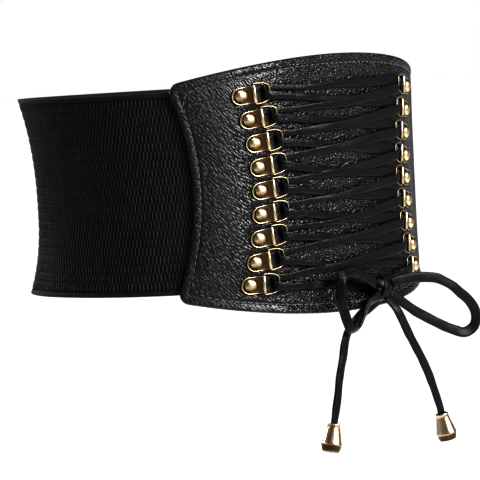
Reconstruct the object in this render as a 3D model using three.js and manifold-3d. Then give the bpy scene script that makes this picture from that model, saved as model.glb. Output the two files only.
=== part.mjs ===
// Corset belt: an elastic waist band with a laced leather front.
// Millimetres, +Z up. The front faces -Y and the origin is the middle of the waist,
// level with the middle of the leather panel.

import * as THREE from 'three';
import { mergeVertices } from 'three/addons/utils/BufferGeometryUtils.js';
import Module from 'manifold-3d';

const wasm = await Module();
wasm.setup();

// Driving dimensions

// The gap that two pieces keep where they touch
const CLEARANCE = 0.3;

// The waist that the belt sits on: half its width, half its depth, and how square its corners are
const WAIST = { halfWidth: 118.7, halfDepth: 86.9, squareness: 2.35 };

// How far the belt stands out from the waist: at the panel's lower edge in front, and at the
// band's upper and lower edges round the back
const FLARE = { hem: 3.1, upper: 8.0, lower: 6.3, power: 2.37 };

// The elastic band
const BAND = { height: 110, wall: 1.5, endFromCentre: 80 };

// The leather panel: the leather left above and below the outer rings at its middle, how far its
// ends stand past the band above and below, its corner rounding and its wall
const PANEL = { edgeMargin: 19.9, endMargin: 3.8, corner: 7, wall: 2.2, sideMargin: 32.1 };

// The hidden fastening strip between the band's end and the panel
const STRIP = { width: 15, height: 96, thickness: 1.0 };

// Nine rows of rings: their pitch, the distance between the two columns at the waist, and how far
// a column has spread at the panel's ends
const ROWS = { count: 9, pitch: 13, columnGap: 110.8, spread: 11.5 };

// A lug: the plate's width and sheet, the rivet's place behind the ring's bar, and its dome
const LUG = { width: 9.6, sheet: 1.0, rivetBack: 8, endBack: 13.6, domeRadius: 3.3, domeRise: 2.2 };

// A D-ring: its wire, its outer height and how far it reaches past the bar in the lug
const RING = { wire: 1.0, height: 12.2, reach: 9.5, flat: 2.2 };

// The lace where it is drawn tight between the rings, and where it hangs, folded double
const LACE = { width: 5.4, thickness: 1.0, widthAtRing: 3.2, lift: 0.6 };
const LACE_END = { width: 5.0, thickness: 2.0 };

// The bow's knot, and a bell tip
const KNOT = { centre: [19.5, -95, -61.5], halfSize: [7, 4.6, 6.2] };
const TIP = { length: 15.4, topRadius: 3.6, widestRadius: 5.8, endRadius: 4.7, bore: 2.7, boreDepth: 6 };

// How each row's lug is turned up towards the middle, in degrees
const LUG_TURNS = [7, 8.5, 8, 9, 7.5, 7.5, 8.5, 8, 2];

// The belt's shape, in shares of the size named at each column's head. The front's flare starts
// at `frontFrom` of the panel's half height below the middle. Between `blendFrom` and `blendTo` of
// the half girth the front's flare passes into the back's, which is least at `backWaist` of the
// band's half height.
const SHAPE = { frontFrom: -0.737, blendFrom: 0.24, blendTo: 0.57, backWaist: -0.187 };

// Rows of the meshes from the middle to the upper edge, as shares of the half height
const PANEL_ROWS = [0, 0.25, 0.5, 0.72];
const BAND_ROWS = [0, 0.35, 0.7, 1];

// Rows in the panel's rounded corners, as shares of the corner's radius below the edge
const CORNER_ROWS = [1, 0.4, 0.12, 0];

const PANEL_COLUMNS = 30;
const BAND_COLUMNS = 44;

// The bow and the tails: points chosen by hand along the middle of the lace, with the turn of its
// flat side in degrees from facing forwards
const BOW_LEFT = [
  [12.7, -97, -58.8, 0], [6.5, -98, -55.5, 0], [0, -98.5, -52.5, 0], [-7.5, -98.5, -50, 0],
  [-14, -99, -49.5, 20], [-19, -99.5, -50.5, 30], [-21.5, -100, -54, 20], [-22, -100, -58.5, 0],
  [-22, -100, -64.5, 0], [-20, -100, -71, 0], [-18, -100.5, -77, 20], [-15.5, -101, -81, 40],
  [-11, -101, -81.5, 50], [-6, -100.5, -78, 50], [-2, -100, -73.5, 40], [2.5, -99, -69, 30],
  [14.2, -97.8, -64.8, 10],
];
const BOW_RIGHT = [
  [25.6, -97.8, -59.2, 0], [30, -100, -57.6, 0], [36, -102.5, -57, 0], [42, -104.5, -57, 0],
  [48, -106.5, -57.5, 0], [53.5, -108.5, -58.5, 0], [59, -110, -61, 0], [64, -111.5, -64, 0],
  [69, -112.5, -68, 0], [73.5, -113.5, -71.5, 10], [77.5, -114, -75.5, 30], [80.5, -114, -80, 45],
  [81.5, -113.5, -84, 50], [81, -112.5, -88, 50], [78.5, -111, -90.5, 35], [75, -109.5, -91.5, 20],
  [70, -107.5, -90, 0], [64, -105.5, -87.5, 0], [57, -103.5, -84, 0], [49.5, -101.5, -80, 0],
  [42, -100, -76, 0], [35.5, -98.5, -71.5, 0], [25.9, -96.4, -65, 0],
];
const TAIL_LEFT = [
  [16, -94.5, -68.3, 0], [9, -94.8, -71, 0], [1.5, -95, -74, 0], [-6.5, -95.5, -78.5, 0],
  [-12.5, -95.5, -83.5, 0], [-15.5, -95.5, -89.5, 0], [-17.5, -95.5, -96.5, 0],
  [-20, -95.5, -103.5, 0], [-22, -95.5, -110, 0], [-23.5, -95.5, -117, 0], [-25.5, -95.5, -124, 0],
  [-27, -95.5, -129, 0], [-28, -95.5, -132.5, 0],
];
const TAIL_RIGHT = [
  [21, -98.2, -67, 0], [21.8, -100.2, -69.6, 0], [23, -102.8, -73.5, 0], [25.5, -104, -79, 0],
  [29, -105, -86.5, 0], [33, -106, -94, 0], [37.5, -107, -102, 0], [41, -108, -109.5, 0],
  [44, -108.7, -117, 0], [46.5, -109.4, -124.5, 0], [48.5, -110, -131, 0], [49.3, -110.4, -135, 0],
];

// Worked out from the driving dimensions

const SIDES = { left: -1, right: 1 };
const ringRadius = RING.wire / 2;
const rowsSpan = (ROWS.count - 1) * ROWS.pitch;
const bandHalf = BAND.height / 2;
const panelHalf = rowsSpan / 2 + PANEL.edgeMargin;
const panelEndHalf = bandHalf + PANEL.endMargin;
const panelInner = CLEARANCE;
const panelOuter = panelInner + PANEL.wall;
const barrelHole = ringRadius + CLEARANCE;
const barrelWall = 0.6;
const barrelRadius = barrelHole + barrelWall;
const lugSeat = panelOuter + CLEARANCE;
const laceUnder = panelOuter + LACE.lift + LACE.thickness / 2;
const laceOver = laceUnder + LACE.thickness + 1.5 * CLEARANCE;
const wrapRadius = ringRadius + CLEARANCE + LACE.thickness / 2;
const ringBarLevel = laceUnder + wrapRadius;

const rowHeight = (row) => rowsSpan / 2 - row * ROWS.pitch;
const columnAt = (z) => ROWS.columnGap / 2 + ROWS.spread * (z / panelEndHalf) ** 2;
const sideAt = (z) => columnAt(z) + LUG.endBack + PANEL.sideMargin;
const sideCorner = sideAt(panelEndHalf);
const halfHeightAt = (s) => panelHalf - (panelHalf - panelEndHalf) * (s / sideCorner) ** 2;

const smooth = (t) => {
  const c = Math.min(Math.max(t, 0), 1);
  return c * c * (3 - 2 * c);
};
const mix = (a, b, t) => a + (b - a) * t;

// The waist's outline

const power = (value, exponent) => Math.sign(value) * Math.abs(value) ** exponent;

// A point of the waist's section at an angle, for half sizes a and b
function sectionPoint(a, b, angle) {
  const share = 2 / WAIST.squareness;
  return new THREE.Vector2(a * power(Math.cos(angle), share), b * power(Math.sin(angle), share));
}

// Arc lengths round the waist from the middle of the front towards +X, by equal angles
const OUTLINE_STEPS = 1440;
const outline = [0];
for (let i = 0; i < OUTLINE_STEPS; i += 1) {
  const angles = [i, i + 1].map((k) => -Math.PI / 2 + (2 * Math.PI * k) / OUTLINE_STEPS);
  const [p, q] = angles.map((a) => sectionPoint(WAIST.halfWidth, WAIST.halfDepth, a));
  outline.push(outline[i] + p.distanceTo(q));
}
const girth = outline[OUTLINE_STEPS];

// The section's angle at an arc length from the middle of the front
function angleAt(s) {
  const wanted = ((s % girth) + girth) % girth;
  let low = 0;
  let high = OUTLINE_STEPS;
  while (high - low > 1) {
    const middle = Math.floor((low + high) / 2);
    if (outline[middle] <= wanted) low = middle;
    else high = middle;
  }
  const part = (wanted - outline[low]) / (outline[high] - outline[low]);
  return -Math.PI / 2 + (2 * Math.PI * (low + part)) / OUTLINE_STEPS;
}

// How far the belt stands out from the waist at arc length s and height z
function flareAt(s, z) {
  const start = SHAPE.frontFrom * panelHalf;
  const front = z < start ? FLARE.hem * ((z - start) / (-panelHalf - start)) ** 2 : 0;
  const waistline = SHAPE.backWaist * bandHalf;
  const rise = z > waistline ? FLARE.upper : FLARE.lower;
  const edge = z > waistline ? bandHalf : -bandHalf;
  const back = rise * ((z - waistline) / (edge - waistline)) ** FLARE.power;
  const away = Math.abs(((s + 1.5 * girth) % girth) - girth / 2) / (girth / 2);
  return mix(front, back, smooth((away - SHAPE.blendFrom) / (SHAPE.blendTo - SHAPE.blendFrom)));
}

// A point of the belt: arc length s from the middle of the front, height z, and `out` from the
// band's outer surface
function skin(s, z, out) {
  const angle = angleAt(s);
  const flare = flareAt(s, z);
  const a = WAIST.halfWidth + flare;
  const b = WAIST.halfDepth + flare;
  const p = sectionPoint(a, b, angle);
  const share = 2 - 2 / WAIST.squareness;
  const normal = new THREE.Vector2(power(Math.cos(angle), share) / a, power(Math.sin(angle), share) / b);
  p.addScaledVector(normal.normalize(), out);
  return new THREE.Vector3(p.x, p.y, z);
}

// The directions at a place on the belt: along it towards +s, up it, and outwards
function axesAt(s, z, out) {
  const step = 0.5;
  const along = skin(s + step, z, out).sub(skin(s - step, z, out)).normalize();
  const up = skin(s, z + step, out).sub(skin(s, z - step, out)).normalize();
  const outward = new THREE.Vector3().crossVectors(along, up).normalize();
  return { along, up: new THREE.Vector3().crossVectors(outward, along), outward };
}

// Mesh helpers

function solidFrom(points, faces) {
  const geometry = new THREE.BufferGeometry();
  geometry.setAttribute('position', new THREE.Float32BufferAttribute(points.flatMap((p) => p.toArray()), 3));
  geometry.setIndex(faces.flat());
  return geometry;
}

// Two triangles of a quad whose corners run anticlockwise seen from outside
const quad = (a, b, c, d) => [a, b, c, a, c, d];

// A wall between an outer and an inner sheet of points, both with the same rows and columns. Rows
// run upwards and columns towards +s.
function wallSolid(outer, inner) {
  const rows = outer.length;
  const columns = outer[0].length;
  const points = [...outer.flat(), ...inner.flat()];
  const out = (r, c) => r * columns + c;
  const inn = (r, c) => rows * columns + r * columns + c;
  const faces = [];
  for (let r = 0; r < rows - 1; r += 1) {
    for (let c = 0; c < columns - 1; c += 1) {
      faces.push(quad(out(r, c), out(r, c + 1), out(r + 1, c + 1), out(r + 1, c)));
      faces.push(quad(inn(r, c), inn(r + 1, c), inn(r + 1, c + 1), inn(r, c + 1)));
    }
  }
  const last = rows - 1;
  const end = columns - 1;
  for (let c = 0; c < end; c += 1) {
    faces.push(quad(out(0, c), inn(0, c), inn(0, c + 1), out(0, c + 1)));
    faces.push(quad(out(last, c), out(last, c + 1), inn(last, c + 1), inn(last, c)));
  }
  for (let r = 0; r < last; r += 1) {
    faces.push(quad(out(r, 0), out(r + 1, 0), inn(r + 1, 0), inn(r, 0)));
    faces.push(quad(out(r, end), inn(r, end), inn(r + 1, end), out(r + 1, end)));
  }
  return solidFrom(points, faces);
}

// A solid swept through rings of points that all have the same number of corners, run
// anticlockwise seen against the way of travel, with flat ends
function sweptSolid(rings) {
  const corners = rings[0].length;
  const faces = [];
  for (let i = 0; i < rings.length - 1; i += 1) {
    for (let k = 0; k < corners; k += 1) {
      const next = (k + 1) % corners;
      const a = i * corners;
      const b = a + corners;
      faces.push(quad(a + k, a + next, b + next, b + k));
    }
  }
  const tail = (rings.length - 1) * corners;
  for (let k = 1; k < corners - 1; k += 1) {
    faces.push([0, k + 1, k], [tail, tail + k, tail + k + 1]);
  }
  return solidFrom(rings.flat(), faces);
}

// Rings of a flat lace along stations, each with a point, the direction of the lace's width and
// its width. The section is given in halves of the width and of the thickness.
function laceRings(stations, section, thickness) {
  return stations.map(({ point, across, width }, i) => {
    const before = stations[Math.max(i - 1, 0)].point;
    const after = stations[Math.min(i + 1, stations.length - 1)].point;
    const travel = after.clone().sub(before).normalize();
    const side = across.clone().addScaledVector(travel, -across.dot(travel)).normalize();
    const face = new THREE.Vector3().crossVectors(travel, side);
    return section.map(([u, v]) => point.clone()
      .addScaledVector(side, (u * width) / 2)
      .addScaledVector(face, (v * thickness) / 2));
  });
}

const FLAT_SECTION = [[1, -1], [1, 1], [-1, 1], [-1, -1]];
const ROUND_SECTION = [];
for (let k = 0; k < 8; k += 1) {
  const angle = (Math.PI / 4) * (k + 0.5);
  ROUND_SECTION.push([power(Math.cos(angle), 0.8), power(Math.sin(angle), 0.8)]);
}

// A named mesh
function piece(name, geometry, material) {
  const mesh = new THREE.Mesh(geometry, material);
  mesh.name = name;
  return mesh;
}

// Booleans

function toManifold(geometry) {
  const bare = geometry.clone();
  bare.deleteAttribute('normal');
  bare.deleteAttribute('uv');
  const merged = mergeVertices(bare, 1e-5);
  const mesh = new wasm.Mesh({
    numProp: 3,
    vertProperties: new Float32Array(merged.attributes.position.array),
    triVerts: new Uint32Array(merged.index.array),
  });
  return new wasm.Manifold(mesh);
}

function fromManifold(solid) {
  const { vertProperties, triVerts } = solid.getMesh();
  const geometry = new THREE.BufferGeometry();
  geometry.setAttribute('position', new THREE.BufferAttribute(vertProperties, 3));
  geometry.setIndex(new THREE.BufferAttribute(triVerts, 1));
  return geometry;
}

// Materials

const finish = (color, roughness, metalness) => new THREE.MeshStandardMaterial({ color, roughness, metalness });
const ELASTIC = finish(0x17171a, 0.85, 0);
const LEATHER = finish(0x121214, 0.45, 0);
const LACE_LEATHER = finish(0x1b1b1d, 0.55, 0);
const BRASS = finish(0x8a6a3a, 0.35, 1);
const BRONZE = finish(0x7a5638, 0.35, 1);

// The elastic band, from under one end of the panel round the back to under the other. Its wearer's
// left end, at +X, is sunk under the fastening strip.
function bandSink(s) {
  const full = STRIP.thickness + CLEARANCE;
  return full * smooth((sideCorner - s) / (sideCorner - sideAt(0)));
}

function elasticBand() {
  const upper = BAND_ROWS.map((share) => share * bandHalf);
  const rows = [...upper.slice(1).reverse().map((z) => -z), ...upper];
  const sheet = (depth) => rows.map((z) => {
    const line = [];
    for (let c = 0; c <= BAND_COLUMNS; c += 1) {
      const s = mix(BAND.endFromCentre, girth - BAND.endFromCentre, c / BAND_COLUMNS);
      line.push(skin(s, z, -bandSink(s) - depth));
    }
    return line;
  });
  return piece('elastic_band', wallSolid(sheet(0), sheet(BAND.wall)), ELASTIC);
}

// The fastening strip, between the band's end at +X and the panel
function fasteningStrip() {
  const start = BAND.endFromCentre + 2;
  const rows = [-1, -0.33, 0.33, 1].map((share) => (share * STRIP.height) / 2);
  const columns = [0, 0.33, 0.67, 1].map((share) => start + share * STRIP.width);
  const sheet = (out) => rows.map((z) => columns.map((s) => skin(s, z, out)));
  const top = panelInner - CLEARANCE;
  return piece('fastening_strip', wallSolid(sheet(top), sheet(top - STRIP.thickness)), ELASTIC);
}

// The leather panel. u runs from -1 at its left side to 1 at its right, v from -1 at its lower edge
// to 1 at its upper.
function panelPlace(u, v) {
  const fromEdge = (1 - Math.abs(v)) * panelEndHalf;
  const short = Math.max(PANEL.corner - fromEdge, 0);
  const inset = PANEL.corner - Math.sqrt(PANEL.corner ** 2 - short ** 2);
  let s = 0;
  let z = 0;
  for (let i = 0; i < 6; i += 1) {
    s = u * (sideAt(z) - inset);
    z = v * halfHeightAt(s);
  }
  return { s, z };
}

function leatherPanel() {
  const corner = CORNER_ROWS.map((share) => 1 - (share * PANEL.corner) / panelEndHalf);
  const upper = [...PANEL_ROWS, ...corner];
  const rows = [...upper.slice(1).reverse().map((v) => -v), ...upper];
  const sheet = (out) => rows.map((v) => {
    const line = [];
    for (let c = 0; c <= PANEL_COLUMNS; c += 1) {
      const { s, z } = panelPlace((2 * c) / PANEL_COLUMNS - 1, v);
      line.push(skin(s, z, out));
    }
    return line;
  });
  return piece('leather_panel', wallSolid(sheet(panelOuter), sheet(panelInner)), LEATHER);
}

// A lug in its own frame: the ring's bar along Y over the origin, the plate's underside on z = 0,
// the plate running to -X
function lugGeometry() {
  const join = Math.asin((barrelRadius - LUG.sheet) / barrelRadius);
  const profile = new THREE.Shape();
  profile.moveTo(-LUG.endBack, 0);
  profile.lineTo(0, 0);
  profile.absarc(0, barrelRadius, barrelRadius, -Math.PI / 2, Math.PI + join, false);
  profile.lineTo(-LUG.endBack, LUG.sheet);
  const hole = new THREE.Path();
  hole.absarc(0, barrelRadius, barrelHole, 0, 2 * Math.PI, true);
  profile.holes.push(hole);
  const side = new THREE.ExtrudeGeometry(profile, { depth: LUG.width, bevelEnabled: false, curveSegments: 4 });
  side.rotateX(Math.PI / 2);
  side.translate(0, LUG.width / 2, 0);

  const half = LUG.width / 2;
  const plan = new THREE.Shape();
  plan.moveTo(2 * barrelRadius, -half);
  plan.lineTo(2 * barrelRadius, half);
  plan.lineTo(-LUG.rivetBack, half);
  plan.absellipse(-LUG.rivetBack, 0, LUG.endBack - LUG.rivetBack, half, Math.PI / 2, (3 * Math.PI) / 2, false, 0);
  const tall = 4 * barrelRadius;
  const outlineSolid = new THREE.ExtrudeGeometry(plan, { depth: tall, bevelEnabled: false, curveSegments: 4 });
  outlineSolid.translate(0, 0, -barrelRadius);

  const r = LUG.domeRadius;
  const top = LUG.sheet + LUG.domeRise;
  const domeProfile = [[0, LUG.sheet / 2], [r, LUG.sheet / 2], [r, mix(LUG.sheet, top, 0.2)],
    [0.72 * r, mix(LUG.sheet, top, 0.75)], [0, top]].map(([x, y]) => new THREE.Vector2(x, y));
  const dome = new THREE.LatheGeometry(domeProfile, 10);
  dome.rotateX(Math.PI / 2);
  dome.translate(-LUG.rivetBack, 0, 0);

  return fromManifold(toManifold(side).intersect(toManifold(outlineSolid)).add(toManifold(dome)));
}

// A D-ring in its own frame: its bar along Y through the origin, its loop running to +X
function ringGeometry() {
  const half = RING.height / 2 - ringRadius;
  const quarter = [];
  const steps = 4;
  for (let i = 0; i <= steps; i += 1) {
    const angle = ((Math.PI / 2) * i) / steps;
    quarter.push([RING.reach * Math.sin(angle), mix(RING.flat, half, Math.cos(angle))]);
  }
  const loop = [...quarter, ...quarter.map(([x, y]) => [x, -y]).reverse()].map(([x, y]) => new THREE.Vector2(x, y));
  const sides = 5;
  const points = [];
  const faces = [];
  loop.forEach((p, i) => {
    const before = p.clone().sub(loop[(i + loop.length - 1) % loop.length]).normalize();
    const after = loop[(i + 1) % loop.length].clone().sub(p).normalize();
    const travel = before.clone().add(after).normalize();
    const mitre = 1 / travel.dot(after);
    const outwards = new THREE.Vector2(-travel.y, travel.x).multiplyScalar(mitre);
    for (let k = 0; k < sides; k += 1) {
      const angle = (2 * Math.PI * k) / sides;
      const reach = ringRadius * Math.cos(angle);
      points.push(new THREE.Vector3(p.x + outwards.x * reach, p.y + outwards.y * reach, ringRadius * Math.sin(angle)));
      const next = (k + 1) % sides;
      const a = i * sides;
      const b = ((i + 1) % loop.length) * sides;
      faces.push(quad(a + k, a + next, b + next, b + k));
    }
  });
  return solidFrom(points, faces);
}

// A row's lug and ring on one side of the panel: the lug's placing, the ring's, and the ring's far
// bar, which the lace goes round
function hardwareAt(side, row) {
  const z = rowHeight(row);
  const s = side * columnAt(z);
  const turn = THREE.MathUtils.degToRad(LUG_TURNS[row % LUG_TURNS.length]);
  const middle = LUG.endBack / 2;
  const seatPlace = { s: s + side * middle, z: z - middle * Math.sin(turn) };
  const seat = axesAt(seatPlace.s, seatPlace.z, lugSeat);
  const inwards = seat.along.clone().multiplyScalar(-side);
  const axis = inwards.multiplyScalar(Math.cos(turn)).addScaledVector(seat.up, Math.sin(turn));
  const bar = new THREE.Vector3().crossVectors(seat.outward, axis);
  const origin = skin(seatPlace.s, seatPlace.z, lugSeat).addScaledVector(axis, middle);
  const lug = new THREE.Matrix4().makeBasis(axis, bar, seat.outward).setPosition(origin);

  const barrel = origin.clone().addScaledVector(seat.outward, barrelRadius);
  let reach = RING.reach;
  let far = null;
  for (let i = 0; i < 6; i += 1) {
    far = { s: s - side * reach * Math.cos(turn), z: z + reach * Math.sin(turn) };
    reach *= RING.reach / skin(far.s, far.z, ringBarLevel).distanceTo(barrel);
  }
  const run = skin(far.s, far.z, ringBarLevel).sub(barrel);
  run.addScaledVector(bar, -run.dot(bar)).normalize();
  const face = new THREE.Vector3().crossVectors(run, bar);
  const ring = new THREE.Matrix4().makeBasis(run, bar, face).setPosition(barrel);
  const farBar = barrel.clone().addScaledVector(run, RING.reach);
  return { side, lug, ring, far, farBar, run, bar, face };
}

const hardware = { left: [], right: [] };
for (const [name, side] of Object.entries(SIDES)) {
  for (let row = 0; row < ROWS.count; row += 1) hardware[name].push(hardwareAt(side, row));
}

function lugsAndRings() {
  const lug = lugGeometry();
  const ring = ringGeometry();
  const meshes = [];
  for (const name of Object.keys(SIDES)) {
    hardware[name].forEach((place, row) => {
      const lugMesh = piece(`lug_${name}_${row + 1}`, lug, BRASS);
      lugMesh.applyMatrix4(place.lug);
      const ringMesh = piece(`ring_${name}_${row + 1}`, ring, BRASS);
      ringMesh.applyMatrix4(place.ring);
      meshes.push(lugMesh, ringMesh);
    });
  }
  return meshes;
}

// The lacing

const WRAP_STEPS = 5;
const STRAND_STEPS = 10;
const SPREAD_LENGTH = 9;

// Stations round a ring's far bar, from above it to below or the other way, on the lug's side of it
function wrapStations(place, overFirst) {
  const stations = [];
  for (let i = 0; i <= WRAP_STEPS; i += 1) {
    const angle = (Math.PI * i) / WRAP_STEPS;
    const lift = wrapRadius * Math.cos(angle) * (overFirst ? 1 : -1);
    const point = place.farBar.clone()
      .addScaledVector(place.run, -wrapRadius * Math.sin(angle))
      .addScaledVector(place.face, lift);
    const across = place.bar.clone().multiplyScalar(-place.side);
    stations.push({ point, across, width: LACE.widthAtRing });
  }
  return stations;
}

// Stations of a strand from one place on the belt to another, drawn tight over the panel. A place
// holds s, z and its level: above the ring's bar, below it, or flat on the panel.
function strandStations(from, to) {
  const length = Math.hypot(to.s - from.s, to.z - from.z);
  const stations = [];
  for (let i = 0; i <= STRAND_STEPS; i += 1) {
    const share = mix(0.03, 0.97, i / STRAND_STEPS);
    const s = mix(from.s, to.s, share);
    const z = mix(from.z, to.z, share);
    const levels = [[from, share * length], [to, (1 - share) * length]].map(([end, distance]) => {
      const flat = end.over ? laceOver : laceUnder;
      return mix(end.over ? ringBarLevel + wrapRadius : laceUnder, flat, smooth(distance / (2 * SPREAD_LENGTH)));
    });
    const out = mix(levels[0], levels[1], smooth((share - 0.42) / 0.16));
    const axes = axesAt(s, z, out);
    const travel = axes.along.clone().multiplyScalar(to.s - from.s).addScaledVector(axes.up, to.z - from.z);
    const across = new THREE.Vector3().crossVectors(axes.outward, travel.normalize());
    if (across.z < 0) across.negate();
    const open = smooth(Math.min(share, 1 - share) * length / SPREAD_LENGTH);
    stations.push({ point: skin(s, z, out), across, width: mix(LACE.widthAtRing, LACE.width, open) });
  }
  return stations;
}

// One half of the lacing: from the first ring to each next one on the other side, a row lower, and
// from the last ring to the knot. It runs over the rings' bars from right to left and under them
// from left to right.
function lacing(name, start, lead) {
  const stations = [...lead];
  let sideName = start.name;
  let row = start.row;
  while (row < ROWS.count - 1) {
    const from = hardware[sideName][row];
    const nextName = sideName === 'left' ? 'right' : 'left';
    const to = hardware[nextName][row + 1];
    const over = sideName === 'right';
    stations.push(...strandStations({ ...from.far, over }, { ...to.far, over }));
    stations.push(...wrapStations(to, over));
    sideName = nextName;
    row += 1;
  }
  const last = hardware[sideName][row];
  const knotSide = skin(last.far.s, last.far.z, 0).x < KNOT.centre[0] ? -1 : 1;
  const knotEnd = { s: KNOT.centre[0] + knotSide * (KNOT.halfSize[0] + 1), z: KNOT.centre[2] + 3, over: last.side > 0 };
  stations.push(...strandStations({ ...last.far, over: last.side > 0 }, knotEnd));
  const rings = laceRings(stations, FLAT_SECTION, LACE.thickness);
  return piece(name, sweptSolid(rings), LACE_LEATHER);
}

function lacings() {
  const [topLeft, topRight] = [hardware.left[0], hardware.right[0]];
  const lead = [
    ...wrapStations(topRight, true),
    ...strandStations({ ...topRight.far, over: false }, { ...topLeft.far, over: true }),
    ...wrapStations(topLeft, true),
  ];
  return [
    lacing('lacing_from_left', { name: 'left', row: 0 }, lead),
    lacing('lacing_from_right', { name: 'right', row: 0 }, []),
  ];
}

// The bow

// Stations of a hanging lace along its hand-chosen points
function looseStations(route) {
  const points = route.map(([x, y, z]) => new THREE.Vector3(x, y, z));
  const forwards = new THREE.Vector3(0, -1, 0);
  return route.map(([, , , turn], i) => {
    const before = points[Math.max(i - 1, 0)];
    const after = points[Math.min(i + 1, points.length - 1)];
    const travel = after.clone().sub(before).normalize();
    const across = new THREE.Vector3().crossVectors(forwards, travel).normalize();
    across.applyAxisAngle(travel, THREE.MathUtils.degToRad(turn));
    return { point: points[i], across, width: LACE_END.width };
  });
}

function looseLace(name, route) {
  const rings = laceRings(looseStations(route), ROUND_SECTION, LACE_END.thickness);
  return piece(name, sweptSolid(rings), LACE_LEATHER);
}

function bowKnot() {
  const geometry = new THREE.SphereGeometry(1, 10, 8);
  geometry.deleteAttribute('normal');
  geometry.deleteAttribute('uv');
  const merged = mergeVertices(geometry, 1e-5);
  merged.rotateX(Math.PI / 2);
  merged.scale(...KNOT.halfSize);
  merged.translate(...KNOT.centre);
  return piece('bow_knot', fromManifold(toManifold(merged)), LACE_LEATHER);
}

// A bell tip in its own frame: its mouth at the origin, its axis along -Y, an open bore for the lace
function tipGeometry() {
  const profile = [[0, TIP.boreDepth], [TIP.bore, TIP.boreDepth], [TIP.bore, 0], [TIP.topRadius, 0],
    [TIP.widestRadius, 0.74 * TIP.length], [TIP.endRadius, TIP.length], [0, TIP.length]]
    .map(([r, depth]) => new THREE.Vector2(r, -depth)).reverse();
  return fromManifold(toManifold(new THREE.LatheGeometry(profile, 12)));
}

function laceTip(name, route) {
  const [before, end] = route.slice(-2).map(([x, y, z]) => new THREE.Vector3(x, y, z));
  const travel = end.clone().sub(before).normalize();
  const tip = piece(name, tipGeometry(), BRONZE);
  tip.quaternion.setFromUnitVectors(new THREE.Vector3(0, -1, 0), travel);
  tip.position.copy(end).addScaledVector(travel, CLEARANCE);
  return tip;
}

// The belt

const group = new THREE.Group();
group.add(elasticBand(), fasteningStrip(), leatherPanel());
group.add(...lugsAndRings());
group.add(...lacings());
group.add(bowKnot());
group.add(looseLace('bow_loop_left', BOW_LEFT), looseLace('bow_loop_right', BOW_RIGHT));
group.add(looseLace('lace_tail_left', TAIL_LEFT), looseLace('lace_tail_right', TAIL_RIGHT));
group.add(laceTip('lace_tip_left', TAIL_LEFT), laceTip('lace_tip_right', TAIL_RIGHT));

export default group;
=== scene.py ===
"""A corset belt: an elastic waist band with a laced leather front, a bow and two bell tips."""

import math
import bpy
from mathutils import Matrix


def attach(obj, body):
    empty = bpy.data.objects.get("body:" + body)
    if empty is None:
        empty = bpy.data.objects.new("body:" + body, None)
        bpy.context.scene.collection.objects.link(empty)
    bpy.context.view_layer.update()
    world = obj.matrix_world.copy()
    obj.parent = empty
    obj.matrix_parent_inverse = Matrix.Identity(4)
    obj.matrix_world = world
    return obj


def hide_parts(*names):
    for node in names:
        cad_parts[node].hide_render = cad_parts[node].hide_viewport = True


bl_info = {
    "name": "Corset Belt",
    "version": (1, 0, 0),
    "blender": (4, 5, 0),
    "location": "View3D > Sidebar > Corset Belt",
    "description": "Makes a corset belt with an elastic band and a laced leather front",
    "category": "Object",
}

import bpy
import numpy as np
from bpy.props import FloatProperty, FloatVectorProperty, PointerProperty
from mathutils import Matrix, Vector

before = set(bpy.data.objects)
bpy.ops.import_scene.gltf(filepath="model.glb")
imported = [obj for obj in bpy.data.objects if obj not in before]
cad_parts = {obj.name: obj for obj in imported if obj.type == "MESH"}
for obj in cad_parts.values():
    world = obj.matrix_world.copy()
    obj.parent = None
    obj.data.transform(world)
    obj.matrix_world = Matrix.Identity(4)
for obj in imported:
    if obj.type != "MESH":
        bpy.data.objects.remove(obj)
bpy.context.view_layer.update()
BODY = "root"

# Lengths are millimetres up to make_piece, which turns them into metres. The belt's front faces
# -Y, s runs round the waist from the middle of the front towards +X, and `out` is measured from
# the band's outer surface.
MM = 0.001

# The waist that the belt sits on, and how square its corners are
WAIST = {"half_width": 118.7, "half_depth": 86.9, "squareness": 2.35}

# How far the belt stands out from the waist: at the panel's lower edge in front, and at the band's
# upper and lower edges round the back
FLARE = {"hem": 3.1, "upper": 8.0, "lower": 6.3, "power": 2.37}

# Where the front's flare starts, in halves of the panel's height, where it passes into the back's,
# in halves of the girth, and where the back's is least, in halves of the band's height
SHAPE = {"front_from": -0.737, "blend_from": 0.24, "blend_to": 0.57, "back_waist": -0.187}

# The elastic band: half its height, its wall, where it ends and how deep its end sinks
BAND = {"half": 55.0, "wall": 1.5, "end": 80.0, "sink": 1.3}

# The leather panel: half its height in the middle and at its ends, its corners' rounding, the
# levels of its two faces, and how far its sides stand past the columns of rings
PANEL = {"half": 71.9, "end_half": 58.8, "corner": 7.0, "inner": 0.3, "outer": 2.5, "side": 45.7}

# The rows of rings: how many, their pitch, a column's place and how far it has spread at the ends
ROWS = {"count": 9, "pitch": 13.0, "column": 55.4, "spread": 11.5}

# A lug: half its width, the places of its rivet and its end behind the ring's bar, the radius and
# the rise of the rivet's dome, the bar's height over the plate's foot, the radius of the rolled
# barrel, and the foot's level
LUG = {
    "half_width": 4.8, "rivet": -8.0, "end": 13.6, "dome": 3.7, "rise": 2.4,
    "barrel": 1.4, "roll": 1.05, "seat": 2.8,
}

# How each row's lug is turned up towards the middle, in degrees
LUG_TURNS = [7, 8.5, 8, 9, 7.5, 7.5, 8.5, 8, 2]

# A D-ring: its wire's radius, half its height, half the straight part of its far bar, its reach
RING = {"radius": 0.38, "half": 5.6, "flat": 2.2, "reach": 9.5}

# The lace between the rings: its width towards either column and at a ring, its thickness, the
# levels of its two layers, and how far it stands off a bar and reaches behind it
LACE = {
    "left": 3.5, "right": 6.3, "at_ring": 4.8, "thickness": 1.0, "under": 3.6, "over": 5.05,
    "wrap": 1.3, "reach": 3.2,
}

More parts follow.
